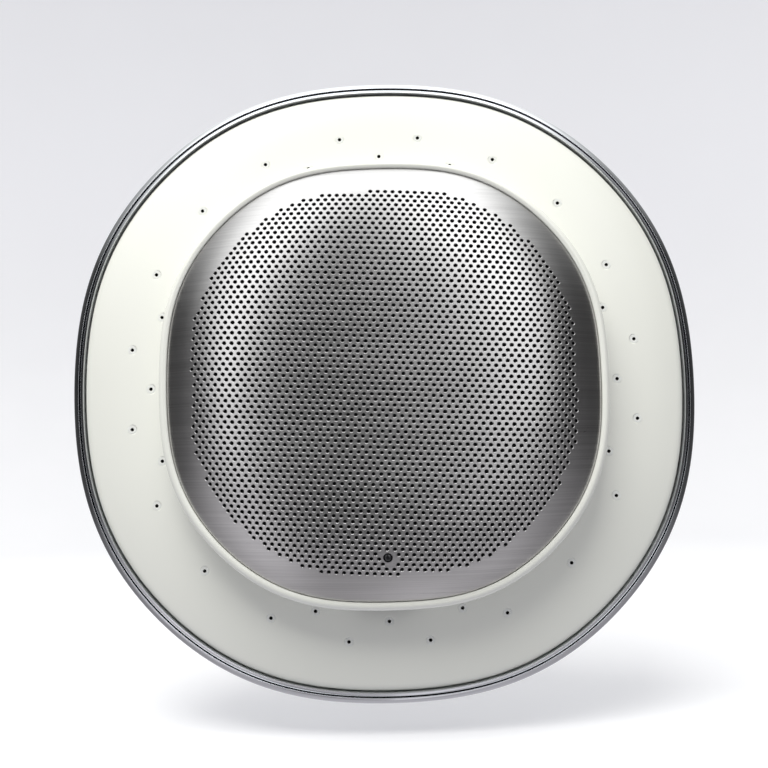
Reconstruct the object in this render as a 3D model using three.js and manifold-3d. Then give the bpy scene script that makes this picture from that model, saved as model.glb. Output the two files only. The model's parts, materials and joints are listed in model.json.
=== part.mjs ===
// Shower head with a removable wireless speaker held in its face.
// Millimetres, +Z up. The spray face looks towards -Y and the pipe inlet towards +Y.
// Profiles are lists of (radius, depth). Depth is measured forwards (towards -Y) from the
// plane of the outer ring of nozzles. The finished group has the middle of its length at y = 0.
import * as THREE from 'three';
import { mergeVertices } from 'three/addons/utils/BufferGeometryUtils.js';
import Module from 'manifold-3d';

const wasm = await Module();
wasm.setup();
const { degToRad, radToDeg, lerp, mapLinear, smoothstep } = THREE.MathUtils;

// ---------------------------------------------------------------- driving dimensions
const APEX = 21.5; // depth of the grille crown
const BALL_DEPTH = -54; // depth of the ball centre
const HEX_FRONT = -20.5; // ends of the inlet hexagon, from the ball centre
const HEX_REAR = -38.5;
const MID_DEPTH = (APEX + BALL_DEPTH + HEX_REAR) / 2;

const LARGE_SEG = 40; // facets round the large outer pieces
const HIDDEN_SEG = 32; // facets round the large pieces inside
const SMALL_SEG = 24; // facets round the joint and the driver

const RIM_RADIUS = 103.9; // widest radius of the chrome shell before squaring
const FACE_RADIUS = 99; // outside of the white spray face
const DOCK_RADIUS = 72.4; // opening in the spray face
const PUCK_RADIUS = 71.6; // speaker body
const GRILLE_RADIUS = 68.8;
const NOZZLE_OUTER = 82; // radii of the two nozzle circles
const NOZZLE_INNER = 74.8;
const NOZZLE_STEP = 18; // degrees between nozzles

const BALL_RADIUS = 12.5;
const BORE_RADIUS = 5.5; // waterway through the ball
const NECK_RADIUS = 8.5;
const CUP_RADIUS = 14.6; // spherical seat round the ball
const LINER_INNER = 12.8; // spheres that bound the two ball liners
const LINER_OUTER = 14.3;

const BUTTON_DEPTH = 3.5;
const BUTTON_PITCH = 12;
const PORT_DEPTH = 3.75; // depth of the charging socket centre
const LIGHT_SPOT = [0, -52.8]; // x, z of the indicator light

// Strength of the cos 4a and cos 8a terms that square the round outline.
const SPEAKER_SQUARING = { cos4: -0.024, cos8: -0.0046 };
const RIM_SQUARING = { cos4: -0.015, cos8: -0.0033 };

// ---------------------------------------------------------------- places
// (x, z) spots evenly spaced on a circle, the first at the start angle in degrees.
const circle = (radius, count, start) => Array.from({ length: count }, (_, i) => {
  const angle = degToRad(start + 360 * i / count);
  return [radius * Math.cos(angle), radius * Math.sin(angle)];
});
const span = (centre, half) => [centre - half, centre + half];

const MAGNET_SPOTS = circle(45, 3, 90);
const TRAY_SCREW_SPOTS = circle(29.7, 3, 30);
const DRIVER_SCREW_SPOTS = circle(32.2, 4, 45);
const CASE_SCREW_SPOTS = [[42.4, 42.4], [-42.4, 42.4], [-42.4, -42.4], [42.4, -42.4]];
const BUTTONS = [ // name, z, shift along x
  ['volume_up_button', BUTTON_PITCH, -0.35],
  ['power_button', 0, 0],
  ['volume_down_button', -BUTTON_PITCH, -0.35],
];

// ---------------------------------------------------------------- solids
// Scales each point in X-Z: no change up to radius 40, squarest from 66 to 74, less at the rim.
function square(geometry) {
  const points = geometry.attributes.position;
  for (let i = 0; i < points.count; i++) {
    const x = points.getX(i);
    const z = points.getZ(i);
    const radius = Math.hypot(x, z);
    const angle = Math.atan2(z, x);
    const onset = smoothstep(radius, 40, 66);
    const rim = smoothstep(radius, 74, 97);
    const cos4 = onset * lerp(SPEAKER_SQUARING.cos4, RIM_SQUARING.cos4, rim);
    const cos8 = onset * lerp(SPEAKER_SQUARING.cos8, RIM_SQUARING.cos8, rim);
    const scale = 1 + cos4 * Math.cos(4 * angle) + cos8 * Math.cos(8 * angle);
    points.setXYZ(i, x * scale, points.getY(i), z * scale);
  }
  return geometry;
}

function signedVolume(points, triangles) {
  const [a, b, c] = [0, 1, 2].map(() => new THREE.Vector3());
  let volume = 0;
  for (let i = 0; i < triangles.length; i += 3) {
    a.fromBufferAttribute(points, triangles[i]);
    b.fromBufferAttribute(points, triangles[i + 1]);
    c.fromBufferAttribute(points, triangles[i + 2]);
    volume += a.dot(b.cross(c)) / 6;
  }
  return volume;
}

// Welds a closed geometry into a solid, with its triangles facing outwards.
function solid(geometry) {
  geometry.deleteAttribute('normal');
  geometry.deleteAttribute('uv');
  const welded = mergeVertices(geometry, 1e-4);
  const index = welded.index.array;
  const points = welded.attributes.position;
  const triangles = [];
  for (let i = 0; i < index.length; i += 3) {
    const [a, b, c] = index.slice(i, i + 3);
    if (a !== b && b !== c && a !== c) triangles.push(a, b, c);
  }
  if (signedVolume(points, triangles) < 0) triangles.reverse();
  return new wasm.Manifold(new wasm.Mesh({
    numProp: 3,
    vertProperties: new Float32Array(points.array),
    triVerts: new Uint32Array(triangles),
  }));
}

// Surface turned about Y. A profile that doesn't start and end on the axis is closed here.
function lathe(profile, seg) {
  const points = profile.map(([radius, depth]) => new THREE.Vector2(radius, -depth));
  if (profile[0][0] > 0 || profile.at(-1)[0] > 0) points.push(points[0].clone());
  return new THREE.LatheGeometry(points, seg);
}
const turned = (profile, seg) => solid(lathe(profile, seg));
const squared = (profile, seg) => solid(square(lathe(profile, seg)));

// Rectangular profile of a flat ring.
const band = (inner, outer, from, to) => [[inner, from], [outer, from], [outer, to], [inner, to]];

// Cylinder along Y between two depths.
function rod(radius, from, to, seg, [x, z] = [0, 0]) {
  const geometry = new THREE.CylinderGeometry(radius, radius, Math.abs(to - from), seg);
  geometry.translate(x, -(from + to) / 2, z);
  return solid(geometry);
}
const addRods = (body, spots, ...size) =>
  spots.reduce((result, spot) => result.add(rod(...size, spot)), body);
const drill = (body, spots, ...size) =>
  spots.reduce((result, spot) => result.subtract(rod(...size, spot)), body);

// Block from its ranges of x, depth and z.
function block([x0, x1], [depth0, depth1], [z0, z1]) {
  const geometry = new THREE.BoxGeometry(x1 - x0, depth1 - depth0, z1 - z0);
  geometry.translate((x0 + x1) / 2, -(depth0 + depth1) / 2, (z0 + z1) / 2);
  return solid(geometry);
}

// Outline in X-Z given thickness from the rear depth to the front depth.
function slab(shape, rear, front) {
  const geometry = new THREE.ExtrudeGeometry(shape, {
    depth: front - rear,
    bevelEnabled: false,
    curveSegments: 3,
  });
  geometry.rotateX(Math.PI / 2); // shape y becomes +Z, extrusion runs to -Y
  geometry.translate(0, -rear, 0);
  return solid(geometry);
}

// ---------------------------------------------------------------- materials
const material = (settings) => new THREE.MeshStandardMaterial(settings);
const materials = {
  white: material({ color: 0xeeeee6, roughness: 0.25, metalness: 0 }),
  chrome: material({ color: 0xd9dbe0, roughness: 0.08, metalness: 1 }),
  steel: material({ color: 0xb4b2b0, roughness: 0.35, metalness: 1 }),
  silicone: material({ color: 0xdfe1dc, roughness: 0.6, metalness: 0 }),
  rubber: material({ color: 0x1d1d1f, roughness: 0.85, metalness: 0 }),
  grey: material({ color: 0x8b8f94, roughness: 0.6, metalness: 0 }),
  black: material({ color: 0x16171a, roughness: 0.5, metalness: 0 }),
  cloth: material({ color: 0x0c0d0f, roughness: 0.95, metalness: 0 }),
  magnet: material({ color: 0x9c9fa4, roughness: 0.3, metalness: 1 }),
  zinc: material({ color: 0xc2c4c6, roughness: 0.35, metalness: 1 }),
  brass: material({ color: 0xb79a55, roughness: 0.35, metalness: 1 }),
  board: material({ color: 0x11502f, roughness: 0.55, metalness: 0 }),
  cell: material({ color: 0x3d6fae, roughness: 0.5, metalness: 0 }),
  cone: material({ color: 0x24262a, roughness: 0.8, metalness: 0 }),
  copper: material({ color: 0xb0673a, roughness: 0.4, metalness: 1 }),
  lens: material({ color: 0x202226, roughness: 0.15, metalness: 0 }),
};

// ---------------------------------------------------------------- assembly
const part = new THREE.Group();
part.name = 'shower_speaker';

function add(name, finish, body) {
  const { vertProperties, triVerts } = body.getMesh();
  const geometry = new THREE.BufferGeometry();
  const points = new THREE.BufferAttribute(new Float32Array(vertProperties), 3);
  geometry.setAttribute('position', points);
  geometry.setIndex(new THREE.BufferAttribute(new Uint32Array(triVerts), 1));
  geometry.translate(0, MID_DEPTH, 0);
  geometry.computeVertexNormals();
  const mesh = new THREE.Mesh(geometry, materials[finish]);
  mesh.name = name;
  part.add(mesh);
}

// One numbered rod at each spot.
function addRodPieces(name, finish, spots, ...size) {
  spots.forEach((spot, i) => add(`${name}_${i + 1}`, finish, rod(...size, spot)));
}

// One numbered screw at each spot; head and shank are each (radius, depth, depth).
function addScrews(name, spots, { head, shank }) {
  spots.forEach((spot, i) => {
    add(`${name}_${i + 1}`, 'zinc', rod(...head, 8, spot).add(rod(...shank, 6, spot)));
  });
}

// ================================================================ pipe connector
const FRONT = 1;
const REAR = -1;
// Shifts depths measured from the ball centre to the main datum.
const fromBall = (profile) => profile.map(([radius, offset]) => [radius, BALL_DEPTH + offset]);
// Arc about the ball centre; degrees are measured from the axis on the given side.
const ballArc = (radius, from, to, steps, side) => Array.from({ length: steps + 1 }, (_, i) => {
  const angle = degToRad(from + (to - from) * i / steps);
  return [radius * Math.sin(angle), side * radius * Math.cos(angle)];
});

// Ball on a hollow neck, with the hexagon and socket that take the shower arm.
function ballStud() {
  const flatsWidth = 27;
  const mouth = Math.sqrt(BALL_RADIUS ** 2 - BORE_RADIUS ** 2);
  const arcStart = radToDeg(Math.asin(5.9 / BALL_RADIUS));
  const arcEnd = 180 - radToDeg(Math.asin(NECK_RADIUS / BALL_RADIUS));
  const ball = turned(fromBall([
    [0, mouth - 0.15],
    ...ballArc(BALL_RADIUS, arcStart, arcEnd, 8, FRONT),
    [NECK_RADIUS, -20.9], [0, -20.9],
  ]), SMALL_SEG);
  const hexagon = rod(flatsWidth / Math.sqrt(3), BALL_DEPTH + HEX_FRONT, BALL_DEPTH + HEX_REAR, 6);
  const chamfer = turned(fromBall([
    [0, HEX_FRONT], [13.2, HEX_FRONT], [15.7, -21.9], [15.7, -37.4], [14, HEX_REAR], [0, HEX_REAR],
  ]), 18);
  const bore = rod(BORE_RADIUS, BALL_DEPTH + 14, BALL_DEPTH - 22, 16);
  const socket = turned(fromBall([
    [0, -21.5], [10.4, -21.5], [10.4, -37.6], [11.4, -38.6], [11.4, -39.5], [0, -39.5],
  ]), SMALL_SEG);
  return ball.add(hexagon.intersect(chamfer)).subtract(bore).subtract(socket);
}
add('ball_stud', 'chrome', ballStud());

// Disc with two rings of holes, in front of the washer.
function inletScreen() {
  const disc = rod(9.9, BALL_DEPTH - 21.8, BALL_DEPTH - 22.6, 20);
  const holes = [...circle(2, 4, 0), ...circle(4.3, 8, 22.5)];
  return drill(disc, holes, 0.7, BALL_DEPTH - 21, BALL_DEPTH - 23, 5);
}
add('inlet_screen', 'zinc', inletScreen());
add('inlet_washer', 'rubber', turned(fromBall(band(6.3, 10.1, -22.9, -25.6)), 20));
add('flow_regulator', 'grey', turned(fromBall([
  [1.6, -8], [5.2, -8], [5.2, -16], [3.6, -16], [1.6, -13],
]), 14));

// Liner between the ball and its seat, from one angle off the axis to another.
const liner = (from, to, side) => turned(fromBall([
  ...ballArc(LINER_INNER, from, to, 2, side),
  ...ballArc(LINER_OUTER, to, from, 2, side),
]), SMALL_SEG);
add('ball_seal', 'rubber', liner(40, 60, FRONT));
add('ball_gland', 'silicone', liner(55, 75, REAR));

// ================================================================ shower head
// Cup for the front half of the ball, with a spigot into the water plate.
add('ball_socket', 'brass', turned([
  [5.5, -22.6], [8.3, -22.6], [8.3, -34.3], [19.8, -34.3], [19.8, -37], [17.3, -37],
  [17.3, BALL_DEPTH],
  ...fromBall(ballArc(CUP_RADIUS, 90, 22.1, 5, FRONT)),
], SMALL_SEG));

// Nut that closes the rear half of the cup, with finger flutes.
function collarNut() {
  const nut = turned(fromBall([
    [17.6, 14], [17.6, -0.3],
    ...ballArc(CUP_RADIUS, 88.8, 54, 3, REAR),
    [16.2, -11.6], [17.5, -12.2], [21.4, -8.6], [22.8, -2.6], [22.8, 6.8], [20.9, 6.8], [20.9, 14],
  ]), SMALL_SEG);
  return drill(nut, circle(25.1, 8, 22.5), 3.2, BALL_DEPTH + 7.2, BALL_DEPTH - 13, 8);
}
add('collar_nut', 'chrome', collarNut());
add('socket_oring', 'rubber', turned(band(6.8, 8.2, -20.3, -22.3), 16));

// Chromed outer shell: rounded front edge, shallow dome and neck, then back along the inside.
add('rear_shell', 'chrome', squared([
  [101, -2.9], [102.2, -2.9], [103.4, -4.4], [RIM_RADIUS, -6.8], [103.2, -10.2],
  [98.5, -15.2], [84, -20.5], [58, -26.2], [34, -31.6], [27, -35.2],
  [24, -41.5], [23.6, -46.6], [21.4, -46.6], [21.4, -34], [12.6, -34], [12.6, -31.6],
  [26, -31.4], [56, -24.2], [83, -18.3], [96.8, -13.5], [101, -9.4],
], LARGE_SEG));
// Narrow bead between the spray face and the shell.
add('trim_ring', 'chrome', squared([
  [99.35, -2.9], [99.7, -2.1], [100.3, -2.1], [100.65, -2.9], [100.65, -9], [99.15, -9],
], LARGE_SEG));

// Both nozzle circles lie on the innermost slope of the face, from the dock edge outwards.
const DOCK_EDGE_DEPTH = 0.9;
const NOZZLE_ROWS = [
  { radius: NOZZLE_OUTER, spots: circle(NOZZLE_OUTER, 20, NOZZLE_STEP / 2) },
  {
    radius: NOZZLE_INNER,
    spots: [-NOZZLE_STEP, 0, NOZZLE_STEP].flatMap((start) => circle(NOZZLE_INNER, 4, start)),
  },
].map(({ radius, spots }) => ({
  spots,
  depth: mapLinear(radius, DOCK_RADIUS, NOZZLE_OUTER, DOCK_EDGE_DEPTH, 0),
}));

// White face plate with a clearance hole for every nozzle.
function sprayFace() {
  let face = squared([
    [DOCK_RADIUS, DOCK_EDGE_DEPTH], [NOZZLE_OUTER, 0], [91, -1.2], [97.8, -2.7],
    [FACE_RADIUS, -3.9], [98.7, -10.5], [96.7, -10.5], [96.7, -5], [82, -2.6], [73.3, -1.7],
    [73.2, -8], [DOCK_RADIUS, -8],
  ], LARGE_SEG);
  for (const { spots, depth } of NOZZLE_ROWS) {
    face = drill(face, spots, 1.4, depth + 1, depth - 4, 6);
  }
  return face;
}
add('spray_face', 'white', sprayFace());

// One soft moulding carries all the nozzles on a thin sheet behind the face plate.
function nozzleMat() {
  let mat = squared([
    [73.7, -2.1], [82, -3], [91.6, -4.4], [91.6, -5.6], [82, -4.2], [73.7, -3.3],
  ], LARGE_SEG);
  for (const { spots, depth } of NOZZLE_ROWS) {
    mat = addRods(mat, spots, 1.1, depth - 0.35, depth - 3.5, 6);
    mat = drill(mat, spots, 0.55, depth + 1, depth - 6, 4);
  }
  return mat;
}
add('nozzle_mat', 'silicone', nozzleMat());

// Floor of the speaker recess, with magnet pockets and countersunk screw holes.
function dockTray() {
  let tray = squared(band(0, 76, -9.1, -11.3), HIDDEN_SEG);
  tray = addRods(tray, MAGNET_SPOTS, 9.6, -10.5, -13.8, 14);
  tray = drill(tray, MAGNET_SPOTS, 8.35, -8, -12.7, 14);
  tray = drill(tray, TRAY_SCREW_SPOTS, 3.2, -8, -10.2, 8);
  return drill(tray, TRAY_SCREW_SPOTS, 1.7, -8, -12, 6);
}
add('dock_tray', 'white', dockTray());
addRodPieces('dock_magnet', 'magnet', MAGNET_SPOTS, 8, -9.4, -12.4, 14);
add('dock_pad', 'rubber', squared(band(33.2, 55.5, -8.2, -8.8), SMALL_SEG));
addScrews('dock_screw', TRAY_SCREW_SPOTS, { head: [2.7, -8.3, -9.9], shank: [1.3, -9.5, -15.6] });
add('dock_seal', 'rubber', squared(band(72.5, 76, -8.3, -8.8), HIDDEN_SEG));
add('chamber_seal', 'rubber', squared(band(92.8, 95.2, -4.95, -7.3), HIDDEN_SEG));

// Rear wall of the water chamber, with the hub for the ball cup and posts for the tray screws.
function waterPlate() {
  const wall = squared([
    [6.5, -16], [70, -16], [90.5, -10.5], [92, -7.6], [96.3, -7.6], [96.3, -9.9],
    [92.6, -12], [72, -18.2], [16, -18.2], [16, -31.3], [12.2, -31.3], [12.2, -34],
    [8.6, -34], [8.6, -20], [6.5, -20],
  ], HIDDEN_SEG);
  const posted = addRods(wall, TRAY_SCREW_SPOTS, 4, -11.6, -17, 8);
  return drill(posted, TRAY_SCREW_SPOTS, 1.7, -11, -16.4, 6);
}
add('water_plate', 'grey', waterPlate());

// ================================================================ speaker front
const SHOULDER = 61; // radius where the dome turns down most sharply
// Fall of the grille surface below its apex.
const crownFall = (radius) => 0.1 * (radius / 40) ** 2 + 2.186 * (radius / 53) ** 5.6;
// Dome profile points at a given drop behind the outer grille surface.
const dome = (radii, drop) => radii.map((radius) => [radius, APEX - drop - crownFall(radius)]);

// Domed grille with a turned-back edge and the light window.
function grille() {
  const thickness = 0.8;
  const edgeDepth = 10.45;
  const edgeInner = GRILLE_RADIUS - thickness;
  const body = squared([
    ...dome([0, 36, 52, SHOULDER, GRILLE_RADIUS], 0),
    [GRILLE_RADIUS, edgeDepth], [edgeInner, edgeDepth],
    ...dome([edgeInner], 1.1),
    [SHOULDER - 0.25, APEX - thickness - crownFall(SHOULDER)],
    ...dome([52, 36, 0], thickness),
  ], LARGE_SEG);
  return drill(body, [LIGHT_SPOT], 1.5, 25, 10, 16);
}
add('grille', 'steel', grille());

// Cloth just behind the grille.
function acousticCloth() {
  const radii = [0, 38, 52, SHOULDER];
  const profile = [...dome(radii, 1.4), ...dome(radii, 1.8).reverse()];
  return drill(squared(profile, SMALL_SEG), [LIGHT_SPOT], 1.8, 25, 10, 12);
}
add('acoustic_cloth', 'cloth', acousticCloth());

// White rounded lip round the grille.
add('front_bezel', 'white', squared([
  [66.9, 10.1], [69.1, 10.1], [69.1, 12.4], [69.6, 12.85], [70.7, 12.5], [PUCK_RADIUS, 10.9],
  [PUCK_RADIUS, 9.75], [66.9, 9.75],
], LARGE_SEG));

// ================================================================ speaker case
// Round hole along X through the side of the case.
function buttonHole(z) {
  const geometry = new THREE.CylinderGeometry(2.6, 2.6, 12, 12);
  geometry.rotateZ(Math.PI / 2);
  geometry.translate(68, -BUTTON_DEPTH, z);
  return solid(geometry);
}

// Rounded cup, gasket ledge, screw posts, button holes and the charging socket opening.
function speakerCase() {
  let shell = squared([
    [0, -5.8], [67.6, -5.8], [68.4, -5], [68.4, 6.3], [69.9, 6.3], [69.9, 9.4],
    [PUCK_RADIUS, 9.4], [71.5, -4.6], [69.2, -7.6], [0, -7.6],
  ], LARGE_SEG);
  shell = addRods(shell, CASE_SCREW_SPOTS, 4.2, -6.5, 7.3, 8);
  shell = drill(shell, CASE_SCREW_SPOTS, 3.1, -8.5, -5.6, 8);
  shell = drill(shell, CASE_SCREW_SPOTS, 1.6, -8.5, 8.5, 6);
  for (const [, z] of BUTTONS) shell = shell.subtract(buttonHole(z));
  const opening = block([-4.7, 4.7], span(PORT_DEPTH, 1.6), [-75, -62]);
  const flapRecess = block([-10.4, 7.8], span(PORT_DEPTH, 2.5), [-75, -67.95]);
  return shell.subtract(opening).subtract(flapRecess);
}
add('speaker_case', 'white', speakerCase());
addScrews('case_screw', CASE_SCREW_SPOTS, { head: [2.6, -7.4, -5.9], shank: [1.2, -6.2, 8.6] });
add('case_gasket', 'rubber', squared(band(68.6, 69.6, 6.6, 7.3), HIDDEN_SEG));
add('rear_pad', 'rubber', squared(band(57, 64, -7.9, -8.7), HIDDEN_SEG));

// Plate across the case that carries the driver.
function baffle() {
  let body = squared(band(27, 69.6, 7.6, 9.45), HIDDEN_SEG);
  body = drill(body, CASE_SCREW_SPOTS, 1.6, 7, 8.95, 6);
  body = drill(body, DRIVER_SCREW_SPOTS, 1.3, 8.1, 10, 6);
  return drill(body, [LIGHT_SPOT], 1.7, 7, 10, 8);
}
add('baffle', 'black', baffle());

// ================================================================ driver
// Mounting flange, tapered wall with four windows, seat round the magnet cup.
function driverFrame() {
  let frame = turned([
    [28, 11], [35, 11], [35, 9.75], [26.5, 9.75], [23.4, 2.6], [21.2, 1.6], [20.6, -2.4],
    [16.6, -2.4], [16.6, -1], [19.2, -1], [20, 2.6], [22.3, 3.3],
  ], SMALL_SEG);
  const window = block([18, 34], [4.3, 7.7], [-6.5, 6.5]);
  for (const degrees of [0, 90, 180, 270]) {
    frame = frame.subtract(window.rotate([0, degrees, 0]));
  }
  return drill(frame, DRIVER_SCREW_SPOTS, 1.4, 9, 12, 6);
}
add('driver_frame', 'black', driverFrame());
addScrews('driver_screw', DRIVER_SCREW_SPOTS, { head: [1.9, 11.3, 12.4], shank: [0.9, 8.4, 11.6] });
add('magnet_cup', 'zinc', turned([
  [0, -4.9], [16.2, -4.9], [16.2, 2.6], [11.2, 2.6], [11.2, -3.3], [0, -3.3],
], SMALL_SEG));
add('driver_magnet', 'magnet', rod(8.6, -3, 0.2, 20));
add('pole_piece', 'zinc', rod(8.8, 0.5, 2.6, 20));
// Moving group of the driver.
add('voice_coil', 'copper', turned(band(9.4, 10.6, -1.2, 5.3), SMALL_SEG));
add('speaker_cone', 'cone', turned([
  [9.4, 5.6], [10.9, 5.6], [16.5, 7.6], [22.6, 11.3],
  [22.6, 11.9], [16.2, 8.3], [10.4, 6.4], [9.4, 6.4],
], SMALL_SEG));
add('dust_cap', 'cone', turned([
  [0, 9.6], [5.2, 9], [9.2, 6.7], [9.9, 6.9], [5.6, 9.6], [0, 10.2],
], 16));
add('surround', 'rubber', turned([
  [22.9, 11.3], [23.9, 11.3], [25.5, 13.1], [27.1, 11.3], [30, 11.3], [30, 11.8],
  [27.4, 11.8], [25.5, 13.9], [23.6, 11.8], [22.9, 11.8],
], SMALL_SEG));
add('spider', 'brass', turned([
  [10.9, 3.7], [13.5, 3.3], [16, 4.1], [18.6, 3.3], [21.9, 3.6],
  [21.9, 4], [18.6, 3.7], [16, 4.5], [13.5, 3.7], [10.9, 4.1],
], 20));

// ================================================================ inside the case
// Steel discs that the docking magnets pull on.
addRodPieces('keeper_disc', 'zinc', MAGNET_SPOTS, 7.5, -5.5, -4, 14);

// Battery with rounded corners, drawn as four quarter arcs joined by straight sides.
function batteryPack() {
  const cornerRadius = 3;
  const corners = [[-30, -22], [-30, 22], [-57, 22], [-57, -22]]; // x, z of the arc centres
  const shape = new THREE.Shape();
  corners.forEach(([x, z], i) => {
    shape.absarc(x, z, cornerRadius, (i - 1) * Math.PI / 2, i * Math.PI / 2, false);
  });
  return slab(shape, -3.2, 3.4);
}
add('battery_pack', 'cell', batteryPack());

// Main board with its larger components.
function mainBoard() {
  const outline = [[-34, -26], [-34, -50], [-24, -60.5], [24, -60.5], [34, -50], [34, -26]];
  const components = [ // x range, z range, front depth
    [[-22, -12], [-46, -36], 3],
    [[6, 14], [-42, -34], 2.9],
    [[19, 29], [-48, -40], 4.6],
    [[-28, -25.5], [-44, -38], 3.6],
    [span(LIGHT_SPOT[0], 1.1), span(LIGHT_SPOT[1], 1.1), 2.6],
  ];
  const shape = new THREE.Shape(outline.map(([x, z]) => new THREE.Vector2(x, z)));
  return components.reduce(
    (board, [xRange, zRange, front]) => board.add(block(xRange, [1.8, front], zRange)),
    slab(shape, 0.3, 1.9),
  );
}
add('main_board', 'board', mainBoard());

// Charging socket: a rectangular shell open downwards, with its contact tongue.
function chargePort() {
  const depths = (rear, front) => [PORT_DEPTH - rear, PORT_DEPTH + front];
  const shell = block([-4.5, 4.5], depths(1.55, 1.5), [-66.1, -59.2]);
  const cavity = block([-4.15, 4.15], depths(1.2, 1.15), [-67, -60.2]);
  const tongue = block([-3.3, 3.3], depths(0.35, 0.3), [-65.3, -59.8]);
  return shell.subtract(cavity).add(tongue);
}
add('charge_port', 'zinc', chargePort());

// Upright board with one switch behind each button.
function buttonBoard() {
  return BUTTONS.reduce(
    (board, [, z]) => board.add(block([60.1, 62.9], span(BUTTON_DEPTH, 2.2), span(z, 2.2))),
    block([58.6, 60.2], [-3.5, 6.6], [-18, 18]),
  );
}
add('button_board', 'board', buttonBoard());

// Pipe that carries the indicator light from the board to the grille.
add('light_pipe', 'lens', turned([
  [0, 3], [1.2, 3], [1.2, 5.6], [2.2, 5.6], [2.2, 6.8], [1.2, 6.8], [1.2, 18.5], [0, 18.5],
], 8).translate([LIGHT_SPOT[0], 0, LIGHT_SPOT[1]]));

// ================================================================ controls and flap
// Push button turned about X, in the +X side of the case.
function pushButton(z, shift) {
  const profile = [ // radius, x
    [0, 63.9], [1.2, 63.9], [1.2, 65.1], [3, 65.1], [3, 65.75], [2.2, 65.75],
    [2.2, 69.5], [1.7, 69.95], [0, 70.1],
  ];
  const points = profile.map(([radius, x]) => new THREE.Vector2(radius, x));
  const geometry = new THREE.LatheGeometry(points, 12);
  geometry.rotateZ(-Math.PI / 2);
  geometry.translate(shift, -BUTTON_DEPTH, z);
  return solid(geometry);
}
for (const [name, z, shift] of BUTTONS) add(name, 'grey', pushButton(z, shift));

// Flap over the charging socket, with its plug and hinge barrel.
function portCover() {
  const depths = span(PORT_DEPTH, 2.2);
  const flap = block([-8, 7.4], depths, [-69.35, -68.25]);
  const plug = block([-4.3, 4.3], span(PORT_DEPTH, 1.3), [-68.4, -66.9]);
  const barrel = rod(0.7, ...depths, 12, [-8.3, -68.8]);
  return flap.add(plug).add(barrel);
}
add('port_cover', 'rubber', portCover());

export default part;
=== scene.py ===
import json
import math
import bpy
import numpy as np
from mathutils import Matrix, Quaternion, Vector
from mathutils.geometry import delaunay_2d_cdt


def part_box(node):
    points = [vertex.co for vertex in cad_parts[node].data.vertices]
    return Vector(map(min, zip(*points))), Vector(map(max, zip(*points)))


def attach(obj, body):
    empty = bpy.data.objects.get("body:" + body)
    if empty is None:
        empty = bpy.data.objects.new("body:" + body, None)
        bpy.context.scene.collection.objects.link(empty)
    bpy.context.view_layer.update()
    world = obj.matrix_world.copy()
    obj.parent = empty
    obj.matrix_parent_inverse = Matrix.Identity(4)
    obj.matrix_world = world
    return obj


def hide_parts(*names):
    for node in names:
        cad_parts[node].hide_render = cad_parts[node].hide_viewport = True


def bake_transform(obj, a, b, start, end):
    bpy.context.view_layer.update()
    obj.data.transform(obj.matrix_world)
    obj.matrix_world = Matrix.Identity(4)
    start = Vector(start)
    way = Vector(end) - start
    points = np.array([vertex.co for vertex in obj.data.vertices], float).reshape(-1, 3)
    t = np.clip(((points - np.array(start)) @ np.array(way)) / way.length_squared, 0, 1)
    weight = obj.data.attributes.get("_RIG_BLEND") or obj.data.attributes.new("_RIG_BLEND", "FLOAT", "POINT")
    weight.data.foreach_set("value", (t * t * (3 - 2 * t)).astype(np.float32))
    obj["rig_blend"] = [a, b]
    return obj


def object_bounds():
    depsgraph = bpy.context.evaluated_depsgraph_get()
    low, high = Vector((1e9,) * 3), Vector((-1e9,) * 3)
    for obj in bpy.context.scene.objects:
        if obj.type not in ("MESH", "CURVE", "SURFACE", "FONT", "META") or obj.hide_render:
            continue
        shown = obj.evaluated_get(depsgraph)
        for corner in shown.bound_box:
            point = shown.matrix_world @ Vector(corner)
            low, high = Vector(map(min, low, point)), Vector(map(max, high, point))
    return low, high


# Shower head with a removable speaker docked in its face.
# Shapes are worked out in millimetres in the row frame (x, y, z), +Z up, the face looking to -Y,
# and scaled to metres when a piece is placed. Depth d is measured forwards from the plane of the
# outer nozzle ring.
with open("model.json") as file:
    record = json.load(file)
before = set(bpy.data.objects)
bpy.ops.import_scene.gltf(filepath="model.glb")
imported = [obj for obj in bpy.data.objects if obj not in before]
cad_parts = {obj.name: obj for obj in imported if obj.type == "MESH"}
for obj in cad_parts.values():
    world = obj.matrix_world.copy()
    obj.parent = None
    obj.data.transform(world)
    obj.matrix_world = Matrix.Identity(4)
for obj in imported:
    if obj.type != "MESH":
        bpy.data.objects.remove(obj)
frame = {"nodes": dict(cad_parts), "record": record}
cad_low, cad_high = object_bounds()
NODES = frame["nodes"]
SLOT = {s["node"]: s["material_slot"] for s in frame["record"]["subparts"]}
BODY = {n: b for b, ns in frame["record"]["behaviour"]["bodies"].items() for n in ns}
BASE = {m["slot"]: m["base_color"] for m in frame["record"]["materials"]}
APEX = 21.5
Y0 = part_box("grille")[0].y * 1000 + APEX          # row y of the nozzle plane
rng = np.random.default_rng(7)


def centre_of(node):
    lo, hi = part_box(node)
    return (lo + hi) / 2 * 1000


# ------------------------------------------------------------------ squared outline
def ease(u):
    t = np.clip(u, 0, 1)
    return t * t * (3 - 2 * t)


def factor(r, a):
    r = np.asarray(r, float)
    t1, t2 = ease((r - 40) / 26), ease((r - 74) / 23)
    c4 = np.where(r < 66, -0.024 * t1, -0.024 + 0.009 * t2)
    c8 = np.where(r < 66, -0.0046 * t1, -0.0046 + 0.0013 * t2)
    return 1 + c4 * np.cos(4 * a) + c8 * np.cos(8 * a)


def unsquare(x, z):
    """Radius before squaring of a point in the plane."""
    R, a = np.hypot(x, z), np.arctan2(z, x)
    r = R.copy()
    for _ in range(25):
        r = R / factor(r, a)
    return r


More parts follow.
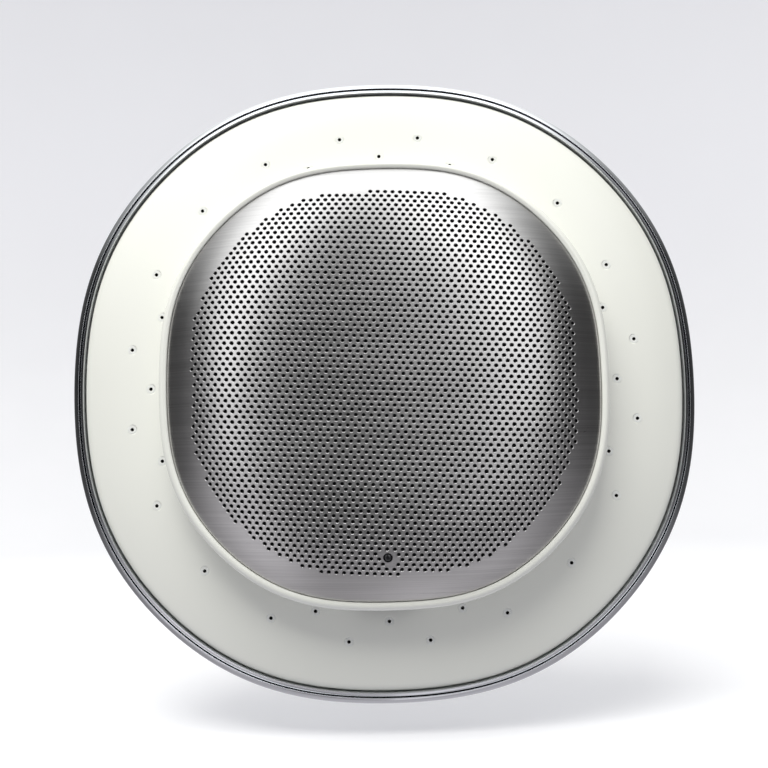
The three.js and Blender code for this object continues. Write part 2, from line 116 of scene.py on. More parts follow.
# ------------------------------------------------------------------ profiles and turned shells
def soften(points, closed):
    """Rounds a profile. A point is (radius, depth) or (radius, depth, how far the rounding reaches)."""
    pts = [np.array(p[:2], float) for p in points]
    reach = [float(p[2]) if len(p) > 2 else 0.0 for p in points]
    n, out = len(pts), []
    for i in range(n):
        ends = not closed and i in (0, n - 1)
        if ends or reach[i] <= 0:
            out.append(pts[i][None])
            continue
        a, b, c = pts[i - 1], pts[i], pts[(i + 1) % n]
        la, lc = np.linalg.norm(a - b), np.linalg.norm(c - b)
        ca, cc = min(reach[i], la / 2), min(reach[i], lc / 2)
        chain = [(b, ca, cc, (a - b) / la, (c - b) / lc)]
        for _ in range(2 if max(ca, cc) < 0.5 else 3 if max(ca, cc) < 6 else 4):
            nxt = []
            for p, q0, q1, u0, u1 in chain:
                A, B = p + u0 * q0 / 2, p + u1 * q1 / 2
                gap = np.linalg.norm(B - A)
                w = (B - A) / max(gap, 1e-12)
                nxt.append((A, q0 / 2, gap / 2, u0, w))
                nxt.append((B, gap / 2, q1 / 2, -w, u1))
            chain = nxt
        out.append(np.array([p for p, *_ in chain]))
    return np.concatenate(out)


def split_long(P, closed, longest):
    out, n = [], len(P)
    for i in range(n if closed else n - 1):
        a, b = P[i], P[(i + 1) % n]
        k = max(1, int(math.ceil(np.linalg.norm(b - a) / longest)))
        out += [a + (b - a) * j / k for j in range(k)]
    if not closed:
        out.append(P[-1])
    return np.array(out)


def turn(points, segs=96, squared=False, shape=None, longest=None, phase=0.0):
    """Closed turned shell about the Y axis: (vertices, triangles, quads). shape(r, d, angle) may change the radius."""
    closed = points[0][0] > 0
    P = soften(points, closed)
    if longest or squared:
        P = split_long(P, closed, longest or 5.0)
    a = phase + 2 * np.pi * np.arange(segs) / segs
    V, rings = [], []
    count = 0
    for r, d in P:
        if r < 1e-9:
            V.append([[0.0, Y0 - d, 0.0]])
            rings.append((count, 1))
            count += 1
            continue
        rr = np.full(segs, r)
        if shape is not None:
            rr = shape(rr, d, a)
        if squared:
            rr = rr * factor(rr, a)
        V.append(np.stack([rr * np.cos(a), np.full(segs, Y0 - d), rr * np.sin(a)], 1))
        rings.append((count, segs))
        count += segs
    tris, quads = [], []
    k = np.arange(segs)
    k1 = (k + 1) % segs
    n = len(rings)
    for i in range(n if closed else n - 1):
        (s0, m0), (s1, m1) = rings[i], rings[(i + 1) % n]
        if m0 == 1 and m1 == 1:
            continue
        if m0 == 1:
            tris.append(np.stack([np.full(segs, s0), s1 + k, s1 + k1], 1))
        elif m1 == 1:
            tris.append(np.stack([s0 + k1, s0 + k, np.full(segs, s1)], 1))
        else:
            quads.append(np.stack([s0 + k1, s0 + k, s1 + k, s1 + k1], 1))
    return (np.concatenate(V), np.concatenate(tris) if tris else np.zeros((0, 3), int),
            np.concatenate(quads) if quads else np.zeros((0, 4), int))


def join(*shells):
    V, T, Q, n = [], [], [], 0
    for v, t, q in shells:
        V.append(v); T.append(t + n); Q.append(q + n); n += len(v)
    return np.concatenate(V), np.concatenate(T), np.concatenate(Q)


def moved(shell, x=0.0, z=0.0, y=0.0):
    v, t, q = shell
    return v + np.array([x, y, z]), t, q


def rod(r, d0, d1, x=0.0, z=0.0, segs=32, soft=0.0):
    lo, hi = sorted((d0, d1))
    return moved(turn([(0, hi), (r, hi, soft), (r, lo, soft), (0, lo)], segs), x, z)


def along_x(shell, d, z):
    """Turns a shell made about the Y axis (its d is now distance along +X) and puts it at depth d and height z."""
    v, t, q = shell
    w = np.stack([Y0 - v[:, 1], Y0 - d + v[:, 0], v[:, 2] + z], 1)
    return w, t, q


def volume(v, t, q):
    T = np.concatenate([t, q[:, :3], q[:, [0, 2, 3]]]) if len(q) else t
    a, b, c = v[T[:, 0]], v[T[:, 1]], v[T[:, 2]]
    return np.einsum("ij,ij->", a - v.mean(0), np.cross(b - v.mean(0), c - v.mean(0))) / 6


def brick(x0, x1, d0, d1, z0, z1, soft=0.0, steps=3):
    """Box with rounded edges, given as x, depth and z ranges."""
    c = np.array([(x0 + x1) / 2, Y0 - (d0 + d1) / 2, (z0 + z1) / 2])
    h = np.abs(np.array([x1 - x0, d1 - d0, z1 - z0])) / 2
    s = min(soft, h.min() * 0.95)
    if s <= 0:
        steps = 0
    if steps == 0:
        axis = [np.array([-1.0, 1.0]) * hh for hh in h]
    else:
        axis = []
        for hh in h:
            t = np.sin(np.linspace(0, np.pi / 2, steps + 1))
            axis.append(np.concatenate([-(hh - s) - s * t[::-1], (hh - s) + s * t]) if hh > s + 1e-9 else
                        np.concatenate([-s * t[::-1], s * t[1:]]))
    V, Q, n = [], [], 0
    for ax in range(3):
        u, w = (ax + 1) % 3, (ax + 2) % 3
        for side in (-1, 1):
            U, W = np.meshgrid(axis[u], axis[w], indexing="ij")
            p = np.zeros(U.shape + (3,))
            p[..., u], p[..., w], p[..., ax] = U, W, side * h[ax]
            a, b = U.shape
            idx = np.arange(a * b).reshape(a, b) + n
            q = np.stack([idx[:-1, :-1], idx[1:, :-1], idx[1:, 1:], idx[:-1, 1:]], -1).reshape(-1, 4)
            if side < 0:
                q = q[:, ::-1]
            V.append(p.reshape(-1, 3)); Q.append(q); n += a * b
    V, Q = np.concatenate(V), np.concatenate(Q)
    if steps:
        core = np.clip(V, -(h - s), h - s)
        off = V - core
        L = np.linalg.norm(off, axis=1, keepdims=True)
        V = core + off / np.maximum(L, 1e-12) * s
    key = np.round(V, 5)
    _, first, inv = np.unique(key, axis=0, return_index=True, return_inverse=True)
    V, Q = V[first], inv.reshape(-1)[Q]
    T = []
    keep = []
    for q in Q:
        u = list(dict.fromkeys(q.tolist()))
        if len(u) == 4:
            keep.append(u)
        elif len(u) == 3:
            T.append(u)
    return V + c, np.array(T, int).reshape(-1, 3), np.array(keep, int).reshape(-1, 4)


# ------------------------------------------------------------------ meshes
def to_mesh(name, v, t, q):
    me = bpy.data.meshes.new(name)
    if volume(v, t, q) < 0:
        t, q = t[:, ::-1], q[:, ::-1]
    loops = np.concatenate([t.ravel(), q.ravel()]).astype(np.int32)
    starts = np.concatenate([3 * np.arange(len(t)), 3 * len(t) + 4 * np.arange(len(q))]).astype(np.int32)
    me.vertices.add(len(v)); me.vertices.foreach_set("co", v.astype(np.float32).ravel())
    me.loops.add(len(loops)); me.loops.foreach_set("vertex_index", loops)
    me.polygons.add(len(starts)); me.polygons.foreach_set("loop_start", starts)
    me.update(calc_edges=True)
    me.validate()
    return me


def to_object(name, shell):
    o = bpy.data.objects.new(name, to_mesh(name, *shell))
    bpy.context.scene.collection.objects.link(o)
    return o


def boolean(o, op, shell):
    tool = to_object("tool", shell)
    m = o.modifiers.new("b", "BOOLEAN")
    m.operation, m.solver, m.object = op, "EXACT", tool
    dg = bpy.context.evaluated_depsgraph_get()
    me = bpy.data.meshes.new_from_object(o.evaluated_get(dg))
    o.modifiers.clear()
    old = o.data
    o.data = me
    bpy.data.meshes.remove(old)
    bpy.data.objects.remove(tool)
    return o


def place(o, node, material=None, sharp=34, metres=True):
    """Scales a finished mesh to metres, shades it and hands it to the frame in place of its CAD node."""
    me = o.data
    if metres:
        me.transform(Matrix.Scale(0.001, 4))
    me.polygons.foreach_set("use_smooth", np.ones(len(me.polygons), bool))
    if sharp:
        me.set_sharp_from_angle(angle=math.radians(sharp))
    o.name = node + "_fine"
    if not me.materials:
        me.materials.append(MATERIAL[material or SLOT[node]])
    if BODY[node] is not None:
        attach(o, BODY[node])
    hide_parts(node)
    return o


# ------------------------------------------------------------------ materials
def new_material(name):
    m = bpy.data.materials.new(name)
    m.use_nodes = True
    nt = m.node_tree
    return m, nt, nt.nodes["Principled BSDF"]


def node(nt, kind, **props):
    n = nt.nodes.new(kind)
    for k, v in props.items():
        if k.startswith("in_"):
            key = k[3:]
            n.inputs[int(key) if key.isdigit() else key].default_value = v
        else:
            setattr(n, k, v)
    return n


def object_coords(nt, stretch=(1, 1, 1)):
    tc = node(nt, "ShaderNodeTexCoord")
    mp = node(nt, "ShaderNodeMapping")
    mp.inputs["Scale"].default_value = stretch
    nt.links.new(tc.outputs["Object"], mp.inputs["Vector"])
    return mp.outputs["Vector"]


def noise(nt, vec, scale, detail=2.0, rough=0.5, distortion=0.0):
    n = node(nt, "ShaderNodeTexNoise")
    n.inputs["Scale"].default_value = scale
    n.inputs["Detail"].default_value = detail
    n.inputs["Roughness"].default_value = rough
    n.inputs["Distortion"].default_value = distortion
    nt.links.new(vec, n.inputs["Vector"])
    return n.outputs["Fac"]


def remap(nt, value, lo, hi, out_lo, out_hi, smooth=False):
    n = node(nt, "ShaderNodeMapRange")
    if smooth:
        n.interpolation_type = "SMOOTHSTEP"
    for i, x in zip(("From Min", "From Max", "To Min", "To Max"), (lo, hi, out_lo, out_hi)):
        n.inputs[i].default_value = x
    nt.links.new(value, n.inputs["Value"])
    return n.outputs["Result"]


def calc(nt, op, a, b=None, clamp=False):
    n = node(nt, "ShaderNodeMath", operation=op, use_clamp=clamp)
    for i, x in enumerate((a, b)):
        if x is None:
            continue
        if isinstance(x, (int, float)):
            n.inputs[i].default_value = x
        else:
            nt.links.new(x, n.inputs[i])
    return n.outputs["Value"]


def blend_colour(nt, fac, a, b):
    n = node(nt, "ShaderNodeMix", data_type="RGBA")
    for key, x in (("A", a), ("B", b)):
        sock = [i for i in n.inputs if i.name == key and i.type == "RGBA"][0]
        if isinstance(x, (tuple, list)):
            sock.default_value = (*x[:3], 1)
        else:
            nt.links.new(x, sock)
    if isinstance(fac, (int, float)):
        n.inputs[0].default_value = fac
    else:
        nt.links.new(fac, n.inputs[0])
    return [o for o in n.outputs if o.type == "RGBA"][0]


def bump(nt, bsdf, height, distance, strength=1.0):
    n = node(nt, "ShaderNodeBump")
    n.inputs["Strength"].default_value = strength
    n.inputs["Distance"].default_value = distance
    nt.links.new(height, n.inputs["Height"])
    nt.links.new(n.outputs["Normal"], bsdf.inputs["Normal"])
    return n


def tone(c, k):
    return tuple(min(1.0, x * k) for x in c)


def plain(name, base, rough, metallic=0.0, ior=1.5, grain=2500, depth=4e-6, mottle=0.06, mottle_scale=25,
          rough_spread=0.15, stretch=(1, 1, 1), coat=0.0, coat_rough=0.05, sss=0.0, sheen=0.0, detail=3.0):
    """Moulded or machined surface: fine grain in the bump, slow drift in colour, patchy roughness."""
    m, nt, b = new_material(name)
    v = object_coords(nt, stretch)
    g = noise(nt, v, grain, detail, 0.55)
    slow = noise(nt, v, mottle_scale, 3.0, 0.6)
    col = blend_colour(nt, remap(nt, slow, 0.3, 0.7, 0, 1), tone(base, 1 - mottle), tone(base, 1 + mottle))
    nt.links.new(col, b.inputs["Base Color"])
    patch = noise(nt, v, mottle_scale * 3.1, 4.0, 0.65)
    nt.links.new(remap(nt, patch, 0.25, 0.75, rough * (1 - rough_spread), min(1, rough * (1 + rough_spread))), b.inputs["Roughness"])
    b.inputs["Metallic"].default_value = metallic
    b.inputs["IOR"].default_value = ior
    b.inputs["Coat Weight"].default_value = coat
    b.inputs["Coat Roughness"].default_value = coat_rough
    if sss:
        b.inputs["Subsurface Weight"].default_value = sss
        b.inputs["Subsurface Radius"].default_value = (1, 0.9, 0.8)
        b.inputs["Subsurface Scale"].default_value = 0.0015
    if sheen:
        b.inputs["Sheen Weight"].default_value = sheen
    bump(nt, b, g, depth)
    return m


def brushed(name, base, rough, along=(30, 30, 30), across=6000, depth=1.2e-6, aniso=0.0, radial=False):
    """Metal with fine parallel brush marks running along X. Coarse, middle and fine marks are mixed."""
    m, nt, b = new_material(name)
    fine = noise(nt, object_coords(nt, (22, 22, across)), 1.0, 2.0, 0.6)
    mid = noise(nt, object_coords(nt, (14, 14, across / 3.2)), 1.0, 2.0, 0.6)
    coarse = noise(nt, object_coords(nt, (7, 7, across / 11)), 1.0, 2.0, 0.6)
    cloud = noise(nt, object_coords(nt), 34, 3.0, 0.6)
    marks = calc(nt, "ADD", calc(nt, "MULTIPLY", fine, 0.45), calc(nt, "ADD", calc(nt, "MULTIPLY", mid, 0.35), calc(nt, "MULTIPLY", coarse, 0.2)))
    col = blend_colour(nt, remap(nt, marks, 0.36, 0.64, 0, 1), tone(base, 0.86), tone(base, 1.12))
    nt.links.new(col, b.inputs["Base Color"])
    b.inputs["Metallic"].default_value = 1.0
    r = calc(nt, "ADD", remap(nt, marks, 0.35, 0.65, rough * 0.88, rough * 1.14), remap(nt, cloud, 0.3, 0.7, -0.015, 0.02))
    nt.links.new(r, b.inputs["Roughness"])
    if aniso:
        b.inputs["Anisotropic"].default_value = aniso
        t = node(nt, "ShaderNodeTangent", direction_type="UV_MAP", uv_map="brush")
        nt.links.new(t.outputs["Tangent"], b.inputs["Tangent"])
    bump(nt, b, marks, depth)
    return m


def chrome(name, base, rough, haze=0.02):
    m, nt, b = new_material(name)
    v = object_coords(nt)
    smear = noise(nt, v, 45, 5.0, 0.65, 0.6)
    fine = noise(nt, v, 420, 2.0, 0.5)
    b.inputs["Metallic"].default_value = 1.0
    nt.links.new(blend_colour(nt, remap(nt, smear, 0.35, 0.7, 0, 1), tone(base, 1.03), tone(base, 0.95)), b.inputs["Base Color"])
    nt.links.new(calc(nt, "ADD", remap(nt, smear, 0.42, 0.72, rough, rough + haze), remap(nt, fine, 0.4, 0.7, 0, 0.006)), b.inputs["Roughness"])
    bump(nt, b, noise(nt, v, 260, 1.0, 0.4), 7e-7)
    return m


def woven(name, base, pitch, rough, depth, axes=(0, 2), sheen=0.3, weave_shade=0.5):
    """Plain weave of round threads at the given pitch in metres."""
    m, nt, b = new_material(name)
    tc = node(nt, "ShaderNodeTexCoord")
    sep = node(nt, "ShaderNodeSeparateXYZ")
    nt.links.new(tc.outputs["Object"], sep.inputs[0])
    u, w = sep.outputs[axes[0]], sep.outputs[axes[1]]
    k = 2 * math.pi / pitch
    su = calc(nt, "SINE", calc(nt, "MULTIPLY", u, k))
    sw = calc(nt, "SINE", calc(nt, "MULTIPLY", w, k))
    cu = calc(nt, "ABSOLUTE", calc(nt, "SINE", calc(nt, "MULTIPLY", u, k)))
    cw = calc(nt, "ABSOLUTE", calc(nt, "SINE", calc(nt, "MULTIPLY", w, k)))
    over = calc(nt, "GREATER_THAN", calc(nt, "MULTIPLY", su, sw), 0.0)
    h = calc(nt, "ADD", calc(nt, "MULTIPLY", over, cu), calc(nt, "MULTIPLY", calc(nt, "SUBTRACT", 1.0, over), cw))
    fuzz = noise(nt, tc.outputs["Object"], 9000, 2.0, 0.6)
    drift = noise(nt, tc.outputs["Object"], 60, 3.0, 0.6)
    height = calc(nt, "ADD", h, calc(nt, "MULTIPLY", fuzz, 0.25))
    # painted shade and highlight: darker where a thread dips under its neighbour, lighter on its crown
    c = blend_colour(nt, remap(nt, h, 0, 1, 0, 1), tone(base, 1 - weave_shade), tone(base, 1 + weave_shade))
    c = blend_colour(nt, remap(nt, drift, 0.35, 0.65, 0, 0.35), c, tone(base, 0.7))
    nt.links.new(c, b.inputs["Base Color"])
    b.inputs["Roughness"].default_value = rough
    b.inputs["Sheen Weight"].default_value = sheen
    bump(nt, b, height, depth)
    return m


def wound(name, base, pitch):
    """Fine wire wound round the Y axis."""
    m, nt, b = new_material(name)
    tc = node(nt, "ShaderNodeTexCoord")
    sep = node(nt, "ShaderNodeSeparateXYZ")
    nt.links.new(tc.outputs["Object"], sep.inputs[0])
    h = calc(nt, "ABSOLUTE", calc(nt, "SINE", calc(nt, "MULTIPLY", sep.outputs[1], math.pi / pitch)))
    # painted shade and highlight: darker in the grooves between turns, lighter on the crown of each turn
    nt.links.new(blend_colour(nt, h, tone(base, 0.35), tone(base, 1.15)), b.inputs["Base Color"])
    b.inputs["Metallic"].default_value = 0.9
    b.inputs["Roughness"].default_value = 0.32
    b.inputs["Coat Weight"].default_value = 0.4
    bump(nt, b, calc(nt, "ADD", h, calc(nt, "MULTIPLY", noise(nt, tc.outputs["Object"], 700, 2.0), 0.2)), 4e-5)
    return m


def board(name, base):
    """Green solder mask over copper tracks, with pads and a fine surface grain."""
    m, nt, b = new_material(name)
    tc = node(nt, "ShaderNodeTexCoord")
    br = node(nt, "ShaderNodeTexBrick")
    br.inputs["Scale"].default_value = 420
    br.inputs["Mortar Size"].default_value = 0.035
    br.offset, br.squash = 0.37, 0.7
    sw = node(nt, "ShaderNodeCombineXYZ")
    sep = node(nt, "ShaderNodeSeparateXYZ")
    nt.links.new(tc.outputs["Object"], sep.inputs[0])
    nt.links.new(sep.outputs[0], sw.inputs[0]); nt.links.new(sep.outputs[2], sw.inputs[1])
    nt.links.new(sw.outputs[0], br.inputs["Vector"])
    track = br.outputs["Fac"]
    c = blend_colour(nt, track, tone(base, 0.8), tone(base, 1.9))
    nt.links.new(c, b.inputs["Base Color"])
    b.inputs["Roughness"].default_value = 0.34
    bump(nt, b, calc(nt, "ADD", track, calc(nt, "MULTIPLY", noise(nt, tc.outputs["Object"], 3500, 2.0), 0.2)), 2e-5)
    return m


MATERIAL = {
    "gloss_white": plain("gloss_white", (0.885, 0.89, 0.83), 0.24, ior=1.47, grain=900, depth=1.1e-6, mottle=0.012,
                         mottle_scale=14, rough_spread=0.12, coat=0.25, coat_rough=0.06, detail=1.5),
    "chrome": chrome("chrome", (0.80, 0.815, 0.84), 0.045, 0.03),
    "brushed_steel": brushed("brushed_steel", (0.63, 0.62, 0.615), 0.31, across=6500, depth=1.5e-6, aniso=0.75),
    "soft_white": plain("soft_white", (0.855, 0.865, 0.83), 0.4, grain=3200, depth=3e-6, mottle=0.02, sss=0.1),
    "black_rubber": plain("black_rubber", (0.022, 0.022, 0.023), 0.62, grain=5200, depth=1.2e-5, mottle=0.25, sheen=0.1),
    "grey_plastic": plain("grey_plastic", (0.40, 0.41, 0.43), 0.5, grain=3800, depth=9e-6, mottle=0.05),
    "black_plastic": plain("black_plastic", (0.026, 0.026, 0.03), 0.46, grain=3600, depth=1.0e-5, mottle=0.2),
    "black_cloth": woven("black_cloth", (0.016, 0.016, 0.018), 0.00042, 0.9, 6e-5, sheen=0.15),
    "nickel": plain("nickel", (0.60, 0.59, 0.56), 0.28, metallic=1.0, grain=6000, depth=2e-6, mottle=0.06, mottle_scale=120),
    "plated_steel": plain("plated_steel", (0.62, 0.63, 0.645), 0.33, metallic=1.0, grain=5200, depth=3e-6, mottle=0.09, mottle_scale=180),
    "brass": plain("brass", (0.70, 0.53, 0.27), 0.3, metallic=1.0, grain=260, depth=2.5e-6, mottle=0.08, mottle_scale=90, stretch=(1, 24, 1)),
    "circuit_board": board("circuit_board", (0.025, 0.19, 0.09)),
    "cell_wrap": plain("cell_wrap", (0.10, 0.24, 0.50), 0.3, grain=380, depth=2.2e-5, mottle=0.1, coat=0.5),
    "cone_paper": plain("cone_paper", (0.045, 0.045, 0.05), 0.78, grain=1900, depth=3.5e-5, mottle=0.3, mottle_scale=400, detail=5),
    "spider_cloth": woven("spider_cloth", (0.50, 0.37, 0.18), 0.0007, 0.8, 8e-5, weave_shade=0.3),
    "copper_wire": wound("copper_wire", (0.72, 0.36, 0.2), 0.00022),
    "smoked_lens": plain("smoked_lens", (0.02, 0.02, 0.022), 0.07, grain=900, depth=1e-6, mottle=0.1, coat=0.7),
}
# painted shade: a dark material for the faces deep inside each nozzle bore, standing for the shade in the orifice; the
# silicone there is white
BORE_SHADE = plain("painted_bore_shade", (0.035, 0.035, 0.035), 0.6, grain=3000, depth=4e-6, mottle=0.2)

# ------------------------------------------------------------------ shared dimensions, mm
DOCK_R, PUCK_R, GRILLE_R, FACE_R = 72.4, 71.6, 68.8, 99.0
NOZZLES = [(82.0, 9 + 18 * k) for k in range(20)] + [(74.8, 90 * k + o) for k in range(4) for o in (-18, 0, 18)]
NOZZLES = [(r * math.cos(math.radians(a)), r * math.sin(math.radians(a)), r) for r, a in NOZZLES]
BALL = -54.0
SEG = 224


def crown(r):
    return 0.10 * (r / 40) ** 2 + 2.186 * (r / 53) ** 5.6


def crown_slope(r):
    return 0.2 * r / 1600 + 2.186 * 5.6 / 53 * (r / 53) ** 4.6


# ------------------------------------------------------------------ grille
def zipped(outer, inner):
    """Triangles filling the strip between two rings given by the angles of their points, anticlockwise.
    Each corner is (0, i) for the outer ring or (1, j) for the inner one."""
    start = int(np.argmin(np.abs((inner - outer[0] + np.pi) % (2 * np.pi) - np.pi)))
    n, m = len(outer), len(inner)
    A = np.append(outer[0] + (outer - outer[0]) % (2 * np.pi), outer[0] + 2 * np.pi)
    B = np.roll(inner, -start)
    first = outer[0] + (B[0] - outer[0] + np.pi) % (2 * np.pi) - np.pi
    B = np.append(first + (B - B[0]) % (2 * np.pi), first + 2 * np.pi)
    out, p, q = [], 0, 0
    while p < n or q < m:
        step_out = (A[p] + A[p + 1]) / 2 if p < n else 1e9
        step_in = (B[q] + B[q + 1]) / 2 if q < m else 1e9
        if step_out < step_in:
            out.append(((0, p % n), (0, (p + 1) % n), (1, (q + start) % m)))
            p += 1
        else:
            out.append(((0, p % n), (1, (q + 1 + start) % m), (1, (q + start) % m)))
            q += 1
    return out


def strip_back(hexagon, six):
    return zipped(np.arctan2(hexagon[:, 1], hexagon[:, 0]), six)


def ring_strip(pattern, outer, inner):
    rings = (outer, inner)
    return np.concatenate([np.stack([rings[r][:, i] for r, i in corner], 1) for corner in pattern])


def build_grille():
    pitch, row, hole, lip, thick, sides = 2.291, 1.570, 0.61, 0.72, 0.8, 9
    lean = math.radians(-2.8)
    ring_r, segs = 62.4, 144
    lo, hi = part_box("light_pipe")
    win = np.array([0.0, (lo.z + hi.z) * 500])
    win_r = 1.42
    # arc length along the dome against radius: the sheet is punched flat and then formed
    rr = np.linspace(0, 75, 1501)
    arc = np.concatenate([[0], np.cumsum(np.sqrt(1 + crown_slope((rr[1:] + rr[:-1]) / 2) ** 2) * np.diff(rr))])

    def formed(p):
        s = np.hypot(p[:, 0], p[:, 1])
        return p * (np.interp(s, arc, rr) / np.maximum(s, 1e-9))[:, None]

    def flat(p):
        r = np.hypot(p[:, 0], p[:, 1])
        return p * (np.interp(r, rr, arc) / np.maximum(r, 1e-9))[:, None]

    c, s = math.cos(lean), math.sin(lean)
    rot = np.array([[c, -s], [s, c]])
    I, J = np.meshgrid(np.arange(-60, 61), np.arange(-60, 61), indexing="ij")
    I, J = I.ravel(), J.ravel()
    local = np.stack([pitch * (I + 0.5 * (J % 2)), row * J], 1)
    centres = local @ rot.T
    where = formed(centres)
    bearing = np.arctan2(where[:, 1], where[:, 0])
    # the punched zone is a little squarer than the rim
    limit = np.minimum(58.0 / np.maximum(np.abs(np.cos(bearing)), np.abs(np.sin(bearing))), 59.7 + 1.8 * np.sin(2 * bearing) ** 2)
    keep = (np.hypot(where[:, 0], where[:, 1]) <= limit) & (np.hypot(where[:, 0] - win[0], where[:, 1] - win[1]) > 2.35)
    kept = set(zip(I[keep].tolist(), J[keep].tolist()))
    local = local[keep]
    n = len(local)
    up = (row * row - pitch * pitch / 4) / (2 * row)
    hexagon = np.array([[pitch / 2, up], [0, row - up], [-pitch / 2, up], [-pitch / 2, -up], [0, -row + up], [pitch / 2, -up]])
    corners = (local[:, None] + hexagon[None]).reshape(-1, 2)
    uniq, inverse = np.unique(np.round(corners, 4), axis=0, return_inverse=True)
    eye = flat(win[None])[0] @ rot                          # cell corners keep clear of the window opening
    off = uniq - eye
    reach = np.hypot(off[:, 0], off[:, 1])
    uniq = np.where((reach < 1.68)[:, None], eye + off * (1.68 / np.maximum(reach, 1e-6))[:, None], uniq)
    H = inverse.reshape(-1, 6)
    turns = 2 * np.pi * np.arange(sides) / sides
    six = np.radians(30 + 60 * np.arange(6))

    def circles(radius, angles, tall=1.0, up=0.0):
        return (local[:, None] + radius * np.stack([np.cos(angles), tall * np.sin(angles) + up / radius], 1)[None]).reshape(-1, 2)

    plane = formed(np.concatenate([uniq, circles(lip, turns)]) @ rot.T)
    inner = formed(circles(hole, turns, 0.97, 0.03) @ rot.T)          # the punch leaves a wider roll on the lower side
    rear_hole = formed(circles(0.58, six, 1.0, 0.02) @ rot.T)
    nh = len(uniq)
    C = (nh + np.arange(sides * n)).reshape(n, sides)
    strip = zipped(np.arctan2(hexagon[:, 1], hexagon[:, 0]), turns)
    tri = ring_strip(strip, H, C)
    # plain border between the last holes and the rim, and round the window
    edges = np.sort(np.concatenate([H[:, [k, (k + 1) % 6]] for k in range(6)]), axis=1)
    e, cnt = np.unique(edges, axis=0, return_counts=True)
    rim = e[cnt == 1]
    used = np.unique(rim)
    pts = [plane[used]]
    index = {int(u): i for i, u in enumerate(used)}
    cons = [(index[int(a)], index[int(b)]) for a, b in rim]
    base = len(used)
    ta = 2 * np.pi * np.arange(segs) / segs
    ring = np.stack([np.cos(ta), np.sin(ta)], 1) * (ring_r * factor(np.full(segs, ring_r), ta))[:, None]
    pts.append(ring)
    cons += [(base + k, base + (k + 1) % segs) for k in range(segs)]
    ring_at = base
    base += segs
    wa = 2 * np.pi * np.arange(28) / 28
    circle = win + win_r * np.stack([np.cos(wa), np.sin(wa)], 1)
    pts.append(circle)
    cons += [(base + k, base + (k + 1) % 28) for k in range(28)]
    win_at = base
    base += 28

    def covered(p):
        q = flat(p) @ rot
        j0 = np.round(q[:, 1] / row).astype(int)
        best, at = np.full(len(p), 1e9), np.zeros((len(p), 2), int)
        for dj in (-1, 0, 1):
            j = j0 + dj
            i = np.round(q[:, 0] / pitch - 0.5 * (j % 2)).astype(int)
            dist = np.hypot(q[:, 0] - pitch * (i + 0.5 * (j % 2)), q[:, 1] - row * j)
            m = dist < best
            best = np.where(m, dist, best)
            at[m] = np.stack([i, j], 1)[m]
        clear = np.hypot(q[:, 0] - eye[0], q[:, 1] - eye[1]) > 1.66
        return np.array([(a, b) in kept for a, b in at.tolist()]) & clear

    for r in (60.0, 61.2):
        m = segs
        tb = 2 * np.pi * (np.arange(m) + 0.5) / m
        p = np.stack([np.cos(tb), np.sin(tb)], 1) * (r * factor(np.full(m, r), tb))[:, None]
        far = np.full(m, True)
        for dx, dz in ((0, 0), (0.45, 0), (-0.45, 0), (0, 0.45), (0, -0.45)):
            far &= ~covered(p + np.array([dx, dz]))
        p = p[far]
        pts.append(p)
        base += len(p)
    pts = np.concatenate(pts)
    out_v, _, out_f, orig, _, _ = delaunay_2d_cdt([Vector(p) for p in pts.tolist()], cons, [], 0, 1e-6, True)
    out_v = np.array([list(v) for v in out_v])
    F = np.array([f for f in out_f if len(f) == 3], int)
    cen = out_v[F].mean(1)
    inside = covered(cen)
    rp = unsquare(cen[:, 0], cen[:, 1])
    ok = ~inside & (rp < ring_r) & (np.hypot(cen[:, 0] - win[0], cen[:, 1] - win[1]) > win_r * 0.999)
    F = F[ok]
    area = np.cross(out_v[F[:, 1]] - out_v[F[:, 0]], out_v[F[:, 2]] - out_v[F[:, 0]])
    F[area < 0] = F[area < 0][:, ::-1]
    # one index space: cell corners and hole points first, then the border's own points
    back = np.full(len(out_v), -1)
    for i, o in enumerate(orig):
        for k in o:
            if k < len(used):
                back[i] = used[k]
                break
    extra = np.where(back < 0)[0]
    back[extra] = len(plane) + np.arange(len(extra))
    plane = np.concatenate([plane, out_v[extra]])
    ring_index, win_index = np.zeros(segs, int), np.zeros(28, int)
    for i, o in enumerate(orig):
        for k in o:
            if ring_at <= k < ring_at + segs:
                ring_index[k - ring_at] = back[i]
            elif win_at <= k < win_at + 28:
                win_index[k - win_at] = back[i]
    tri = np.concatenate([tri, back[F]])
    rpre = unsquare(plane[:, 0], plane[:, 1])
    front = np.stack([plane[:, 0], Y0 - (APEX - crown(rpre)), plane[:, 1]], 1)
    N = len(front)
    rear = front + np.array([0, thick, 0])

    def lifted(p, below):
        return np.stack([p[:, 0], Y0 - (APEX - crown(unsquare(p[:, 0], p[:, 1]))) + below, p[:, 1]], 1)

    # each hole: rolled-in lip at the front, straight wall, plain edge at the back
    V = [front, rear, lifted(inner, 0.10), lifted(rear_hole, thick)]
    D = (2 * N + np.arange(sides * n)).reshape(n, sides)
    E = (2 * N + sides * n + np.arange(6 * n)).reshape(n, 6)
    border = back[F]
    T = [tri, border[:, ::-1] + N, ring_strip(zipped(turns, six), D, E), ring_strip(strip_back(hexagon, six), H + N, E)[:, ::-1]]
    k1 = np.roll(np.arange(sides), -1)
    Q = [np.stack([C, C[:, k1], D[:, k1], D], -1).reshape(-1, 4)]
    w = win_index
    w1 = np.roll(w, -1)
    Q.append(np.stack([w, w1, w1 + N, w + N], 1))
